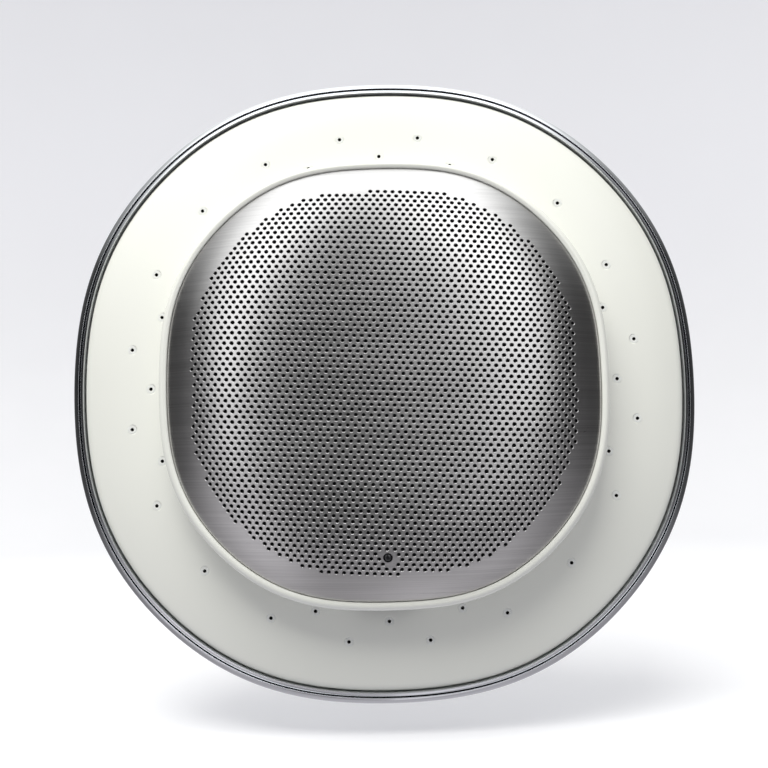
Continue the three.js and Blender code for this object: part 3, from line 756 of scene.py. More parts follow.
    # rim: dome edge, roll, turned-back skirt
    edge = crown(GRILLE_R)
    prof = [(r, APEX - crown(r)) for r in (63.6, 65.0, 66.3, 67.5)]
    prof += [(GRILLE_R - 0.55, APEX - crown(GRILLE_R - 0.55)), (GRILLE_R - 0.28, APEX - crown(GRILLE_R - 0.28) - 0.02),
             (GRILLE_R - 0.08, APEX - edge - 0.06), (GRILLE_R, APEX - edge - 0.22), (GRILLE_R, 10.6), (GRILLE_R - 0.12, 10.45),
             (GRILLE_R - 0.68, 10.45), (GRILLE_R - 0.8, 10.6), (GRILLE_R - 0.8, APEX - edge - 0.55)]
    prof += [(r, APEX - thick - crown(r)) for r in (66.6, 64.4)]
    prev = ring_index
    start = 2 * N + (sides + 6) * n
    for r, d in prof:
        rr_ = r * factor(np.full(segs, r), ta)
        V.append(np.stack([rr_ * np.cos(ta), np.full(segs, Y0 - d), rr_ * np.sin(ta)], 1))
        cur = start + np.arange(segs)
        start += segs
        Q.append(np.stack([prev, cur, np.roll(cur, -1), np.roll(prev, -1)], 1))
        prev = cur
    last = ring_index + N
    Q.append(np.stack([prev, last, np.roll(last, -1), np.roll(prev, -1)], 1))
    V, T, Q = np.concatenate(V), np.concatenate(T), np.concatenate(Q)
    live = np.unique(np.concatenate([T.ravel(), Q.ravel()]))
    new = np.zeros(len(V), int)
    new[live] = np.arange(len(live))
    return V[live], new[T], new[Q], n


def manifold_report(name, t, q):
    E = np.concatenate([t[:, [0, 1]], t[:, [1, 2]], t[:, [2, 0]], q[:, [0, 1]], q[:, [1, 2]], q[:, [2, 3]], q[:, [3, 0]]])
    u, c = np.unique(np.sort(E, axis=1), axis=0, return_counts=True)
    d, dc = np.unique(E, axis=0, return_counts=True)
    print("mesh", name, "open or shared edges", int((c != 2).sum()), "flipped", int((dc > 1).sum()), "triangles", len(t) + 2 * len(q))


gv, gt, gq, hole_count = build_grille()
manifold_report("grille", gt, gq)
print("grille holes", hole_count)
grille = to_object("grille", (gv, gt, gq))
uv = grille.data.uv_layers.new(name="brush")
li = np.zeros(len(grille.data.loops), np.int32)
grille.data.loops.foreach_get("vertex_index", li)
co = np.zeros(len(grille.data.vertices) * 3, np.float32)
grille.data.vertices.foreach_get("co", co)
co = co.reshape(-1, 3)[li]
uv.data.foreach_set("uv", np.stack([co[:, 2] / 100 + 1.1, co[:, 0] / 100 + 1.1], 1).astype(np.float32).ravel())
place(grille, "grille", sharp=25)

# ------------------------------------------------------------------ cloth and light pipe behind the grille
cs = list(np.linspace(0, 61, 22))
lightz = centre_of("light_pipe").z
cloth = to_object("cloth", turn([(r, APEX - 1.4 - crown(r)) for r in cs] + [(r, APEX - 1.8 - crown(r)) for r in cs[::-1]], 128, squared=True))
boolean(cloth, "DIFFERENCE", rod(1.8, 25, 10, 0, lightz, 40))
place(cloth, "acoustic_cloth")
pipe = to_object("pipe", moved(turn([(0, 3.0), (1.2, 3.0, .15), (1.2, 5.6), (2.2, 5.6, .2), (2.2, 6.8, .2), (1.2, 6.8), (1.2, 18.2, .4), (0.7, 18.5, .4), (0, 18.5)], 40), 0, lightz))
place(pipe, "light_pipe")

# ------------------------------------------------------------------ bezel
place(to_object("bezel", turn([(66.9, 10.1, .08), (68.95, 10.1, .05), (68.95, 11.72, .06), (69.12, 11.98, .15), (70.35, 12.35, 1.1), (PUCK_R, 11.2, 1.2),
                               (PUCK_R, 9.75, .12), (66.9, 9.75, .08)], SEG, squared=True)), "front_bezel")

# ------------------------------------------------------------------ spray face
face_profile = [(DOCK_R, 0.9, .5), (82, 0.0, 4.5), (91, -1.2, 4), (97.8, -2.7, 1.6), (FACE_R, -3.9, .8), (98.7, -10.5, .3), (96.7, -10.5, .3),
                (96.7, -5.0, .5), (82, -2.6, 4), (73.3, -1.7, .3), (73.2, -8.0, .2), (DOCK_R, -8.0, .2)]
fine_face = soften(face_profile, True)
front_part = fine_face[(fine_face[:, 1] > -3.2) & (np.arange(len(fine_face)) < np.argmin(np.abs(fine_face[:, 0] - FACE_R) + np.abs(fine_face[:, 1] + 3.9)) + 4)]
front_part = front_part[np.argsort(front_part[:, 0])]


def face_depth(x, z):
    return np.interp(unsquare(np.atleast_1d(x), np.atleast_1d(z)), front_part[:, 0], front_part[:, 1])


face = to_object("face", turn(face_profile, SEG, squared=True, longest=1.4))
seats, nubs, bores = [], [], []
for x, z, r in NOZZLES:
    f = float(face_depth(x, z)[0])
    seats.append(moved(turn([(0, f + 1.2), (1.66, f + 1.2), (1.72, f + 0.015, .1), (1.41, f - 0.06, .1), (1.41, f - 4.2), (0, f - 4.2)], 32), x, z))
    nubs.append(moved(turn([(0, f - 0.09), (0.8, f - 0.09, .3), (1.39, f - 0.065, .03), (1.39, f - 3.5), (0, f - 3.5)], 32), x, z))
    bores.append(moved(turn([(0, f + 1), (0.61, f + 1), (0.61, f - 0.07, .1), (0.53, f - 0.26, .12), (0.55, f - 6), (0, f - 6)], 20), x, z))
boolean(face, "DIFFERENCE", join(*seats))
me = face.data
nl = len(me.loops)
me.polygons.foreach_set("use_smooth", np.ones(len(me.polygons), bool))
me.set_sharp_from_angle(angle=math.radians(34))
vi = np.zeros(nl, np.int32); me.loops.foreach_get("vertex_index", vi)
vc = np.zeros(len(me.vertices) * 3, np.float32); me.vertices.foreach_get("co", vc); vc = vc.reshape(-1, 3).astype(float)
starts = np.zeros(len(me.polygons), np.int32); me.polygons.foreach_get("loop_start", starts)
totals = np.zeros(len(me.polygons), np.int32); me.polygons.foreach_get("loop_total", totals)
pn = np.zeros(len(me.polygons) * 3, np.float32); me.polygons.foreach_get("normal", pn); pn = pn.reshape(-1, 3)
ln = np.repeat(pn, totals, axis=0)
P = vc[vi]
h = 0.05
gx = (face_depth(P[:, 0] + h, P[:, 2]) - face_depth(P[:, 0] - h, P[:, 2])) / (2 * h)
gz = (face_depth(P[:, 0], P[:, 2] + h) - face_depth(P[:, 0], P[:, 2] - h)) / (2 * h)
an = np.stack([-gx, -np.ones_like(gx), -gz], 1)
an /= np.linalg.norm(an, axis=1, keepdims=True)
rp = unsquare(P[:, 0], P[:, 2])
on_front = (np.einsum("ij,ij->i", an, ln) > 0.985) & (rp > 73.4) & (rp < 96.4) & (np.abs(Y0 - P[:, 1] - face_depth(P[:, 0], P[:, 2])) < 0.08)
an[~on_front] = 0
me.transform(Matrix.Scale(0.001, 4))
me.normals_split_custom_set([tuple(x) for x in an.tolist()])
face_obj = place(face, "spray_face", sharp=None, metres=False)

# ------------------------------------------------------------------ nozzle moulding
mat = to_object("mat", turn([(73.7, -2.1, .3), (82, -3.0, 3), (91.6, -4.4, .4), (91.6, -5.6, .4), (82, -4.2, 3), (73.7, -3.3, .3)], 128, squared=True))
boolean(mat, "UNION", join(*nubs))
boolean(mat, "DIFFERENCE", join(*bores))
mat.data.materials.clear()
mat.data.materials.append(MATERIAL["soft_white"]); mat.data.materials.append(BORE_SHADE)
cen = np.zeros(len(mat.data.polygons) * 3, np.float32); mat.data.polygons.foreach_get("center", cen); cen = cen.reshape(-1, 3)
NX = np.array([(x, z) for x, z, r in NOZZLES])
dist = np.hypot(cen[:, None, 0] - NX[None, :, 0], cen[:, None, 2] - NX[None, :, 1])
near = dist.argmin(1)
tip = np.array([float(face_depth(x, z)[0]) for x, z, r in NOZZLES])[near]
# faces deep inside each bore get the painted shade material
shaded_bore_faces = (dist.min(1) < 0.60) & ((Y0 - cen[:, 1]) < tip - 0.24)
mat.data.polygons.foreach_set("material_index", shaded_bore_faces.astype(np.int32))
place(mat, "nozzle_mat", sharp=40)

# ------------------------------------------------------------------ chrome
place(to_object("trim", turn([(99.35, -3.1, .1), (99.42, -2.45, .1), (100.6, -3.15, .12), (100.65, -3.5, .1), (100.65, -9.0, .2), (99.15, -9.0, .2)], SEG, squared=True)), "trim_ring", sharp=50)
place(to_object("shell", turn([
    (101.0, -3.4, .12), (101.12, -2.95, .12), (102.3, -3.75, .9), (103.4, -5.1, 1.2), (103.9, -7.2, 2.0), (103.2, -10.2, 3.2), (98.5, -15.2, 7), (84, -20.5, 14), (58, -26.2, 14),
    (34, -31.6, 5), (27, -35.2, 4), (24.0, -41.5, 4), (23.6, -46.6, .9), (21.4, -46.6, .6), (21.4, -34.0, .3), (12.6, -34.0, .3), (12.6, -31.6, .3),
    (26, -31.4, 4), (56, -24.2, 10), (83, -18.3, 10), (96.8, -13.5, 3), (101.0, -9.4, 2)], SEG, squared=True, longest=6)), "rear_shell", sharp=50)


def hexagonal(across, soft):
    def f(r, d, a):
        b = (a - math.pi / 2 + math.pi / 6) % (math.pi / 3) - math.pi / 6
        flat = across / 2 / np.cos(np.where(np.abs(b) > math.pi / 6, math.pi / 6, np.pi / 6 - np.abs(b)))
        # vertices point up and down, flats face sideways
        m = np.minimum(r, flat)
        k = np.clip(0.5 + 0.5 * (r - flat) / soft, 0, 1)
        return np.where(np.abs(r - flat) < soft, r + (flat - r) * k - soft * k * (1 - k) * 0.5, m)
    return f


hexer = hexagonal(27.0, 0.35)
ball_front = math.degrees(math.asin(5.9 / 12.5))
ball_back = 180 - math.degrees(math.asin(8.5 / 12.5))


def arc_points(R, a0, a1, n, sign=1):
    return [(R * math.sin(math.radians(a0 + (a1 - a0) * i / n)), BALL + sign * R * math.cos(math.radians(a0 + (a1 - a0) * i / n))) for i in range(n + 1)]


stud_points = ([(5.5, BALL + math.sqrt(12.5 ** 2 - 5.5 ** 2) - 0.15)] + arc_points(12.5, ball_front, ball_back, 40) +
               [(8.5, BALL - 20.5, .6), (13.2, BALL - 20.5, .3), (15.7, BALL - 21.9, .5), (15.7, BALL - 37.4, .5), (14.0, BALL - 38.5, .3), (11.4, BALL - 38.5, .2),
                (10.4, BALL - 37.6, .2)])
# female thread drawn as true grooves round the socket wall
z0, z1 = BALL - 36.9, BALL - 26.2
for i in range(int((z0 - z1) / -1.814 + 1e-6)):
    d = z0 + 1.814 * i
    stud_points += [(10.4, d + 0.05, .12), (10.95, d + 0.75, .2), (10.95, d + 1.05, .2), (10.4, d + 1.76, .12)]
stud_points += [(10.4, BALL - 25.8), (10.4, BALL - 21.5, .3), (5.5, BALL - 21.5, .3)]
place(to_object("stud", turn(stud_points, 192, shape=lambda r, d, a: np.where(d < BALL - 20.4, np.where(r > 12, hexer(r, d, a), r), r))), "ball_stud", sharp=40)


def fluted(r, d, a):
    b = (a - math.pi / 8 + math.pi / 8) % (math.pi / 4) - math.pi / 8
    off = 25.1 * np.sin(np.abs(b))
    groove = np.where(off < 3.2, 25.1 * np.cos(b) - np.sqrt(np.maximum(3.2 ** 2 - off ** 2, 0)), 99.0)
    soft = 0.3
    k = np.clip(0.5 + 0.5 * (r - groove) / soft, 0, 1)
    m = r + (np.minimum(groove, 60) - r) * k
    return np.where((r > 17.2) & (d < BALL + 7.2), np.minimum(r, m), r)


place(to_object("nut", turn([
    (17.6, BALL + 14, .3), (17.6, BALL - 0.3), *arc_points(14.6, 88.8, 54, 14, -1), (16.2, BALL - 11.6, .4), (17.5, BALL - 12.2, 1.2), (21.4, BALL - 8.6, 3),
    (22.8, BALL - 2.6, 2), (22.8, BALL + 6.8, .6), (20.9, BALL + 6.8, .3), (20.9, BALL + 14, .3)], 256, shape=fluted, longest=0.8)), "collar_nut", sharp=50)

# ------------------------------------------------------------------ ball joint and water way
place(to_object("cup", turn([(5.5, -22.6, .3), (8.3, -22.6, .3), (8.3, -34.3, .3), (19.8, -34.3, .3), (19.8, -37.0, .3), (17.3, -37.0, .3), (17.3, BALL),
                             *arc_points(14.6, 90, 22.1, 24)], 96)), "ball_socket")
place(to_object("seal", turn([*arc_points(12.8, 40, 60, 10), *arc_points(14.3, 60, 40, 10)], 96)), "ball_seal")
place(to_object("gland", turn([*arc_points(12.8, 55, 75, 10, -1), *arc_points(14.3, 75, 55, 10, -1)], 96)), "ball_gland")
place(to_object("oring", turn([(6.8, -20.3, .9), (8.2, -20.3, .9), (8.2, -22.3, .9), (6.8, -22.3, .9)], 80)), "socket_oring")
screen = to_object("screen", turn([(0, BALL - 21.8), (9.9, BALL - 21.8, .2), (9.9, BALL - 22.6, .2), (0, BALL - 22.6)], 80))
pins = []
for ring, count in ((2.0, 4), (4.3, 8)):
    for i in range(count):
        a = 2 * math.pi * (i + 0.5 * (ring > 3)) / count
        pins.append(rod(0.7, BALL - 21, BALL - 23, ring * math.cos(a), ring * math.sin(a), 20))
boolean(screen, "DIFFERENCE", join(*pins))
place(screen, "inlet_screen")
place(to_object("washer", turn([(6.3, BALL - 22.9, .25), (10.1, BALL - 22.9, .25), (10.1, BALL - 25.6, .25), (6.3, BALL - 25.6, .25)], 96)), "inlet_washer")
place(to_object("regulator", turn([(1.6, BALL - 8, .3), (5.2, BALL - 8, .4), (5.2, BALL - 16, .4), (3.6, BALL - 16, .3), (1.6, BALL - 13, .3)], 64)), "flow_regulator")
place(to_object("chamber_seal", turn([(92.8, -4.95, .7), (95.2, -4.95, .7), (95.2, -7.3, .7), (92.8, -7.3, .7)], 192, squared=True)), "chamber_seal")
tray_spots = [(centre_of(f"dock_screw_{i}").x, centre_of(f"dock_screw_{i}").z) for i in (1, 2, 3)]
magnet_spots = [(centre_of(f"dock_magnet_{i}").x, centre_of(f"dock_magnet_{i}").z) for i in (1, 2, 3)]
water = to_object("water", turn([
    (6.5, -16, .4), (70, -16, 1.5), (90.5, -10.5, 1), (92.0, -7.6, .3), (96.3, -7.6, .3), (96.3, -9.9, .3), (92.6, -12.0, 1), (72, -18.2, 2), (16, -18.2, .8),
    (16, -31.3, .3), (12.2, -31.3, .3), (12.2, -34.0, .3), (8.6, -34.0, .3), (8.6, -20.0, .3), (6.5, -20.0, .3)], 128, squared=True))
boolean(water, "UNION", join(*[rod(4.0, -11.6, -17, x, z, 32) for x, z in tray_spots]))
boolean(water, "DIFFERENCE", join(*[rod(1.7, -11, -16.4, x, z, 24) for x, z in tray_spots]))
place(water, "water_plate")

# ------------------------------------------------------------------ dock
tray = to_object("tray", turn([(0, -9.1), (76, -9.1, .3), (76, -11.3, .3), (0, -11.3)], 160, squared=True, longest=9))
boolean(tray, "UNION", join(*[rod(9.6, -10.5, -13.8, x, z, 48, .4) for x, z in magnet_spots]))
boolean(tray, "DIFFERENCE", join(*[moved(turn([(0, -8), (8.75, -8), (8.75, -9.05, .1), (8.35, -9.4, .2), (8.35, -12.7), (0, -12.7)], 64), x, z) for x, z in magnet_spots]))
boolean(tray, "DIFFERENCE", join(*[moved(turn([(0, -8), (3.45, -8), (3.45, -9.05, .1), (3.2, -9.3, .1), (3.2, -10.2), (1.7, -10.2), (1.7, -12), (0, -12)], 40), x, z) for x, z in tray_spots]))
place(tray, "dock_tray")
for i, (x, z) in enumerate(magnet_spots):
    place(to_object("magnet", rod(8.0, -9.4, -12.4, x, z, 64, .3)), f"dock_magnet_{i + 1}")
pad = to_object("pad", turn([(33.2, -8.2, .35), (55.5, -8.2, .35), (55.5, -8.8, .2), (33.2, -8.8, .2)], 160, squared=True, longest=4))
rings = [turn([(r, -7.5), (r + 0.9, -7.5), (r + 0.9, -8.42, .2), (r, -8.42, .2)], 160, squared=True) for r in np.arange(36.0, 53.0, 2.6)]
boolean(pad, "DIFFERENCE", join(*rings))
place(pad, "dock_pad")
place(to_object("dock_seal", turn([(72.5, -8.3, .2), (76, -8.3, .2), (76, -8.8, .2), (72.5, -8.8, .2)], 192, squared=True)), "dock_seal")


def screw(node, x, z, head_r, top, under, shank_r, end, facing=1):
    """Pan head screw with a cross recess; facing is not used."""
    t = abs(top - under)
    s = 1 if top > under else -1
    sh = moved(turn([(0, top), (head_r * 0.55, top - s * 0.05 * t, head_r * .4), (head_r * 0.92, top - s * 0.42 * t, head_r * .3), (head_r, under + s * 0.12, .2), (head_r, under, .1),
                     (shank_r, under, .1), (shank_r, end + s * 0.4, .3), (shank_r * 0.5, end, .2), (0, end)], 40), x, z)
    o = to_object("screw", sh)
    w, l, dp = head_r * 0.17, head_r * 0.56, t * 0.62
    a, b = top + s * 0.3, top - s * dp
    boolean(o, "DIFFERENCE", brick(x - w, x + w, a, b, z - l, z + l, 0.0))
    boolean(o, "DIFFERENCE", brick(x - l, x + l, a, b, z - w, z + w, 0.0))
    boolean(o, "DIFFERENCE", moved(turn([(0, max(a, b)), (w * 1.9, max(a, b)), (w * 1.9, min(a, b)), (0, min(a, b))], 16), x, z))
    return place(o, node)


for i, (x, z) in enumerate(tray_spots):
    screw(f"dock_screw_{i + 1}", x, z, 2.7, -8.3, -9.9, 1.3, -15.6)
case_spots = [(centre_of(f"case_screw_{i}").x, centre_of(f"case_screw_{i}").z) for i in (1, 2, 3, 4)]
for i, (x, z) in enumerate(case_spots):
    screw(f"case_screw_{i + 1}", x, z, 2.6, -7.4, -5.9, 1.2, 8.6)
driver_spots = [(centre_of(f"driver_screw_{i}").x, centre_of(f"driver_screw_{i}").z) for i in (1, 2, 3, 4)]
for i, (x, z) in enumerate(driver_spots):
    screw(f"driver_screw_{i + 1}", x, z, 1.9, 12.4, 11.3, 0.9, 8.4)

# ------------------------------------------------------------------ speaker case, controls
case = to_object("case", turn([
    (0, -5.8), (67.6, -5.8, .5), (68.4, -5.0, .4), (68.4, 6.3, .1), (69.9, 6.3, .1), (69.9, 9.4, .1), (PUCK_R, 9.4, .25), (71.55, -4.2, 2.4), (69.2, -7.6, 2.6), (0, -7.6)],
    SEG, squared=True, longest=7))
boolean(case, "UNION", join(*[rod(4.2, -6.5, 7.3, x, z, 40, .2) for x, z in case_spots]))
boolean(case, "DIFFERENCE", join(*[moved(turn([(0, -5.6), (3.1, -5.6), (3.1, -7.35, .1), (3.45, -7.7, .1), (3.45, -8.5), (0, -8.5)], 40), x, z) for x, z in case_spots]))
boolean(case, "DIFFERENCE", join(*[rod(1.6, -8.5, 8.5, x, z, 24) for x, z in case_spots]))
buttons = {n: centre_of(n) for n in ("volume_up_button", "power_button", "volume_down_button")}
BTN_D = Y0 - buttons["power_button"].y
boolean(case, "DIFFERENCE", join(*[along_x(turn([(0, 62), (2.6, 62), (2.6, 74), (0, 74)], 40), BTN_D, c.z) for c in buttons.values()]))
port = centre_of("charge_port")
PORT_D = Y0 - port.y - 0.025
boolean(case, "DIFFERENCE", brick(-4.7, 4.7, PORT_D - 1.6, PORT_D + 1.6, -75, -62, 1.2))
boolean(case, "DIFFERENCE", brick(-10.4, 7.8, PORT_D - 2.5, PORT_D + 2.5, -76, -67.95, 0.6))
place(case, "speaker_case", sharp=36)
for n, c in buttons.items():
    shift = 0.0 if n == "power_button" else -0.35
    s = turn([(0, 63.9), (1.2, 63.9, .1), (1.2, 65.1, .1), (3.0, 65.1, .15), (3.0, 65.75, .15), (2.2, 65.75, .1), (2.2, 69.6, .55), (1.2, 70.1, .6), (0, 70.1)], 56)
    o = to_object(n, along_x(moved(s, 0, 0), BTN_D, c.z))
    o.data.transform(Matrix.Translation((shift, 0, 0)))
    x1 = 70.1 + shift
    if n == "power_button":
        # shallow ring pressed into the cap
        boolean(o, "DIFFERENCE", along_x(turn([(1.0, x1 - 0.22), (1.28, x1 - 0.22), (1.28, x1 + 0.4), (1.0, x1 + 0.4)], 40), BTN_D, c.z))
    else:
        boolean(o, "DIFFERENCE", brick(x1 - 0.2, x1 + 0.4, BTN_D - 1.0, BTN_D + 1.0, c.z - 0.14, c.z + 0.14))
        if n == "volume_up_button":
            boolean(o, "DIFFERENCE", brick(x1 - 0.2, x1 + 0.4, BTN_D - 0.14, BTN_D + 0.14, c.z - 1.0, c.z + 1.0))
    place(o, n)

flap = to_object("flap", brick(-8.0, 7.4, PORT_D - 2.2, PORT_D + 2.2, -69.35, -68.25, 0.45, 4))
boolean(flap, "UNION", brick(-4.3, 4.3, PORT_D - 1.3, PORT_D + 1.3, -68.4, -66.9, 0.9, 4))
boolean(flap, "UNION", moved(turn([(0, PORT_D + 2.2), (0.7, PORT_D + 2.2, .15), (0.7, PORT_D - 2.2, .15), (0, PORT_D - 2.2)], 32), -8.3, -68.8))
boolean(flap, "DIFFERENCE", brick(5.4, 6.7, PORT_D - 1.2, PORT_D + 1.2, -69.9, -69.05, 0.3, 3))
place(flap, "port_cover")

place(to_object("gasket", turn([(68.6, 6.6, .2), (69.6, 6.6, .2), (69.6, 7.3, .2), (68.6, 7.3, .2)], 192, squared=True)), "case_gasket")
foot = to_object("rear_pad", turn([(57, -7.9, .2), (64, -7.9, .2), (64, -8.7, .35), (57, -8.7, .35)], 192, squared=True))
boolean(foot, "DIFFERENCE", turn([(59.9, -8.45, .15), (61.1, -8.45, .15), (61.1, -9.5), (59.9, -9.5)], 192, squared=True))
place(foot, "rear_pad")

# ------------------------------------------------------------------ inside the speaker
baffle = to_object("baffle", turn([(27, 7.6, .2), (69.6, 7.6, .2), (69.6, 9.45, .2), (27, 9.45, .2)], 128, squared=True, longest=8))
boolean(baffle, "DIFFERENCE", join(*[rod(1.6, 7, 8.95, x, z, 24) for x, z in case_spots]))
boolean(baffle, "DIFFERENCE", join(*[rod(1.3, 8.1, 10, x, z, 24) for x, z in driver_spots], rod(1.7, 7, 10, 0, lightz, 24)))
place(baffle, "baffle")
basket = to_object("basket", turn([(28.0, 11.0, .2), (35, 11.0, .3), (35, 9.75, .2), (26.5, 9.75, .4), (23.4, 2.6, .6), (21.2, 1.6, .4), (20.6, -2.4, .3),
                                   (16.6, -2.4, .1), (16.6, -1.0, .1), (19.2, -1.0, .2), (20.0, 2.6, .4), (22.3, 3.3, .4)], 96))
for k in range(4):
    a = math.pi / 2 * k
    v, t, q = brick(18, 34, 4.3, 7.7, -6.5, 6.5, 0.8)
    w = v.copy()
    w[:, 0], w[:, 2] = v[:, 0] * math.cos(a) - v[:, 2] * math.sin(a), v[:, 0] * math.sin(a) + v[:, 2] * math.cos(a)
    boolean(basket, "DIFFERENCE", (w, t, q))
boolean(basket, "DIFFERENCE", join(*[rod(1.4, 9, 12, x, z, 24) for x, z in driver_spots]))
place(basket, "driver_frame")
place(to_object("cup", turn([(0, -4.9), (16.2, -4.9, .5), (16.2, 2.6, .3), (11.2, 2.6, .2), (11.2, -3.3, .3), (0, -3.3)], 96)), "magnet_cup")
place(to_object("magnet", rod(8.6, -3.0, 0.2, 0, 0, 64, .3)), "driver_magnet")
place(to_object("pole", rod(8.8, 0.5, 2.6, 0, 0, 64, .3)), "pole_piece")
place(to_object("coil", turn([(9.4, -1.2, .05), (10.6, -1.2, .05), (10.6, 5.3, .05), (9.4, 5.3, .05)], 96)), "voice_coil")
place(to_object("cone", turn([(9.4, 5.6, .1), (10.9, 5.6, .3), (16.5, 7.6, 3), (22.6, 11.3, .2), (22.6, 11.9, .2), (16.2, 8.3, 3), (10.4, 6.4, .3), (9.4, 6.4, .1)], 96)), "speaker_cone")
place(to_object("cap", turn([(0, 9.6), (5.2, 9.0, 2), (9.2, 6.7, .2), (9.9, 6.9, .2), (5.6, 9.6, 2), (0, 10.2)], 80)), "dust_cap")
for i, (x, z) in enumerate(magnet_spots):
    place(to_object("keeper", rod(7.5, -5.5, -4.0, x, z, 56, .25)), f"keeper_disc_{i + 1}")


def flexing(shell, node, inner, outer, moving_inside=True):
    """Ring that stretches between the still frame and the moving cone."""
    o = to_object(node, shell)
    me = o.data
    me.transform(Matrix.Scale(0.001, 4))
    me.polygons.foreach_set("use_smooth", np.ones(len(me.polygons), bool))
    me.set_sharp_from_angle(angle=math.radians(40))
    me.materials.append(MATERIAL[SLOT[node]])
    o.name = node + "_fine"
    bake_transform(o, "speaker", "cone", start=(outer / 1000, 0, 0), end=(inner / 1000, 0, 0))
    co = np.zeros(len(me.vertices) * 3, np.float32)
    me.vertices.foreach_get("co", co)
    co = co.reshape(-1, 3) * 1000
    r = np.hypot(co[:, 0], co[:, 2])
    w = ease((outer - r) / (outer - inner))
    me.attributes["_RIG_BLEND"].data.foreach_set("value", w.astype(np.float32))
    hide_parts(node)
    return o


flexing(turn([(22.9, 11.3, .1), (23.9, 11.3, .4), (25.5, 13.1, 1.2), (27.1, 11.3, .4), (30.0, 11.3, .1), (30.0, 11.8, .1), (27.4, 11.8, .4), (25.5, 13.9, 1.2), (23.6, 11.8, .4), (22.9, 11.8, .1)], 96),
        "surround", 23.6, 27.6)
flexing(turn([(10.9, 3.7, .1), (13.5, 3.3, .8), (16.0, 4.1, .8), (18.6, 3.3, .8), (21.9, 3.6, .1), (21.9, 4.0, .1), (18.6, 3.7, .8), (16.0, 4.5, .8), (13.5, 3.7, .8), (10.9, 4.1, .1)], 96),
        "spider", 11.2, 21.4)

place(to_object("battery", brick(-60, -27, -3.2, 3.4, -25, 25, 2.6, 5)), "battery_pack")
pcb = to_object("pcb", brick(-34, 34, 0.3, 1.9, -60.5, -26, 0.12, 2))
for sx in (-1, 1):
    v, t, q = brick(-20, 20, -2, 4, -10, 10, 0)
    a = sx * math.radians(46.4)
    px, pz = v[:, 0] * math.cos(a) - v[:, 2] * math.sin(a), v[:, 0] * math.sin(a) + v[:, 2] * math.cos(a)
    nx, nz = math.sin(math.radians(46.4)) * sx, -math.cos(math.radians(46.4))
    w = np.stack([px + sx * 29 + nx * 10, v[:, 1], pz - 55.25 + nz * 10], 1)
    boolean(pcb, "DIFFERENCE", (w, t, q))
for b in ((-22, -12, 1.7, 3.0, -46, -36), (6, 14, 1.7, 2.9, -42, -34), (19, 29, 1.7, 4.6, -48, -40), (-28, -25.5, 1.7, 3.6, -44, -38), (-1.1, 1.1, 1.7, 2.6, lightz - 1.1, lightz + 1.1)):
    boolean(pcb, "UNION", brick(*b, 0.15, 2))
place(pcb, "main_board")
usb = to_object("usb", brick(-4.5, 4.5, PORT_D - 1.55, PORT_D + 1.5, -66.1, -59.2, 0.9, 4))
boolean(usb, "DIFFERENCE", brick(-4.15, 4.15, PORT_D - 1.2, PORT_D + 1.15, -67, -60.2, 0.7, 4))
boolean(usb, "UNION", brick(-3.3, 3.3, PORT_D - 0.35, PORT_D + 0.3, -65.3, -59.8, 0.1, 2))
place(usb, "charge_port")
bb = to_object("bb", brick(58.6, 60.2, -3.5, 6.6, -18, 18, 0.15, 2))
for c in buttons.values():
    boolean(bb, "UNION", brick(60.1, 62.9, BTN_D - 2.2, BTN_D + 2.2, c.z - 2.2, c.z + 2.2, 0.2, 2))
place(bb, "button_board")

# ------------------------------------------------------------------ floor and backdrop
low = cad_low.z - 0.0105                                # clear of the rim when the head is tilted
prof = [(r, low) for r in (0.15, 0.35, 0.62)]
prof += [(0.62 + 0.5 * math.sin(t), low + 0.5 - 0.5 * math.cos(t)) for t in np.linspace(0, math.pi / 2, 24)[1:]] + [(1.12, low + 3.0)]
V, Q, around = [(0, 0, low - 0.0002)], [], 128
for i, (r, z) in enumerate(prof):
    V += [(r * math.sin(2 * math.pi * k / around), r * math.cos(2 * math.pi * k / around), z - 0.0002) for k in range(around)]
    for k in range(around):
        a, b = 1 + i * around + k, 1 + i * around + (k + 1) % around
        Q.append((a - around, b - around, b, a) if i else (0, b, a))
me = bpy.data.meshes.new("sweep")
me.from_pydata(V, [], Q)
me.polygons.foreach_set("use_smooth", np.ones(len(me.polygons), bool))
sweep = bpy.data.objects.new("sweep", me)
bpy.context.scene.collection.objects.link(sweep)
paper = plain("paper_sweep", (0.86, 0.86, 0.885), 0.75, grain=1400, depth=8e-6, mottle=0.008, mottle_scale=6)
glow = paper.node_tree.nodes["Principled BSDF"]        # stands for light bounced about the tent
glow.inputs["Emission Color"].default_value, glow.inputs["Emission Strength"].default_value = (0.97, 0.97, 1.0, 1), 0.21
me.materials.append(paper)

# ------------------------------------------------------------------ light
world = bpy.data.worlds.new("studio")
bpy.context.scene.world = world
world.use_nodes = True
nt = world.node_tree
nt.nodes.clear()
out = node(nt, "ShaderNodeOutputWorld")
tc = node(nt, "ShaderNodeTexCoord")
sep = node(nt, "ShaderNodeSeparateXYZ")
nt.links.new(tc.outputs["Generated"], sep.inputs[0])
X, Yn, Z = sep.outputs
az = calc(nt, "MULTIPLY", calc(nt, "ARCTAN2", X, calc(nt, "MULTIPLY", Yn, -1.0)), 180 / math.pi)     # 0 towards the viewer, + to the right
el = calc(nt, "MULTIPLY", calc(nt, "ARCSINE", Z), 180 / math.pi)


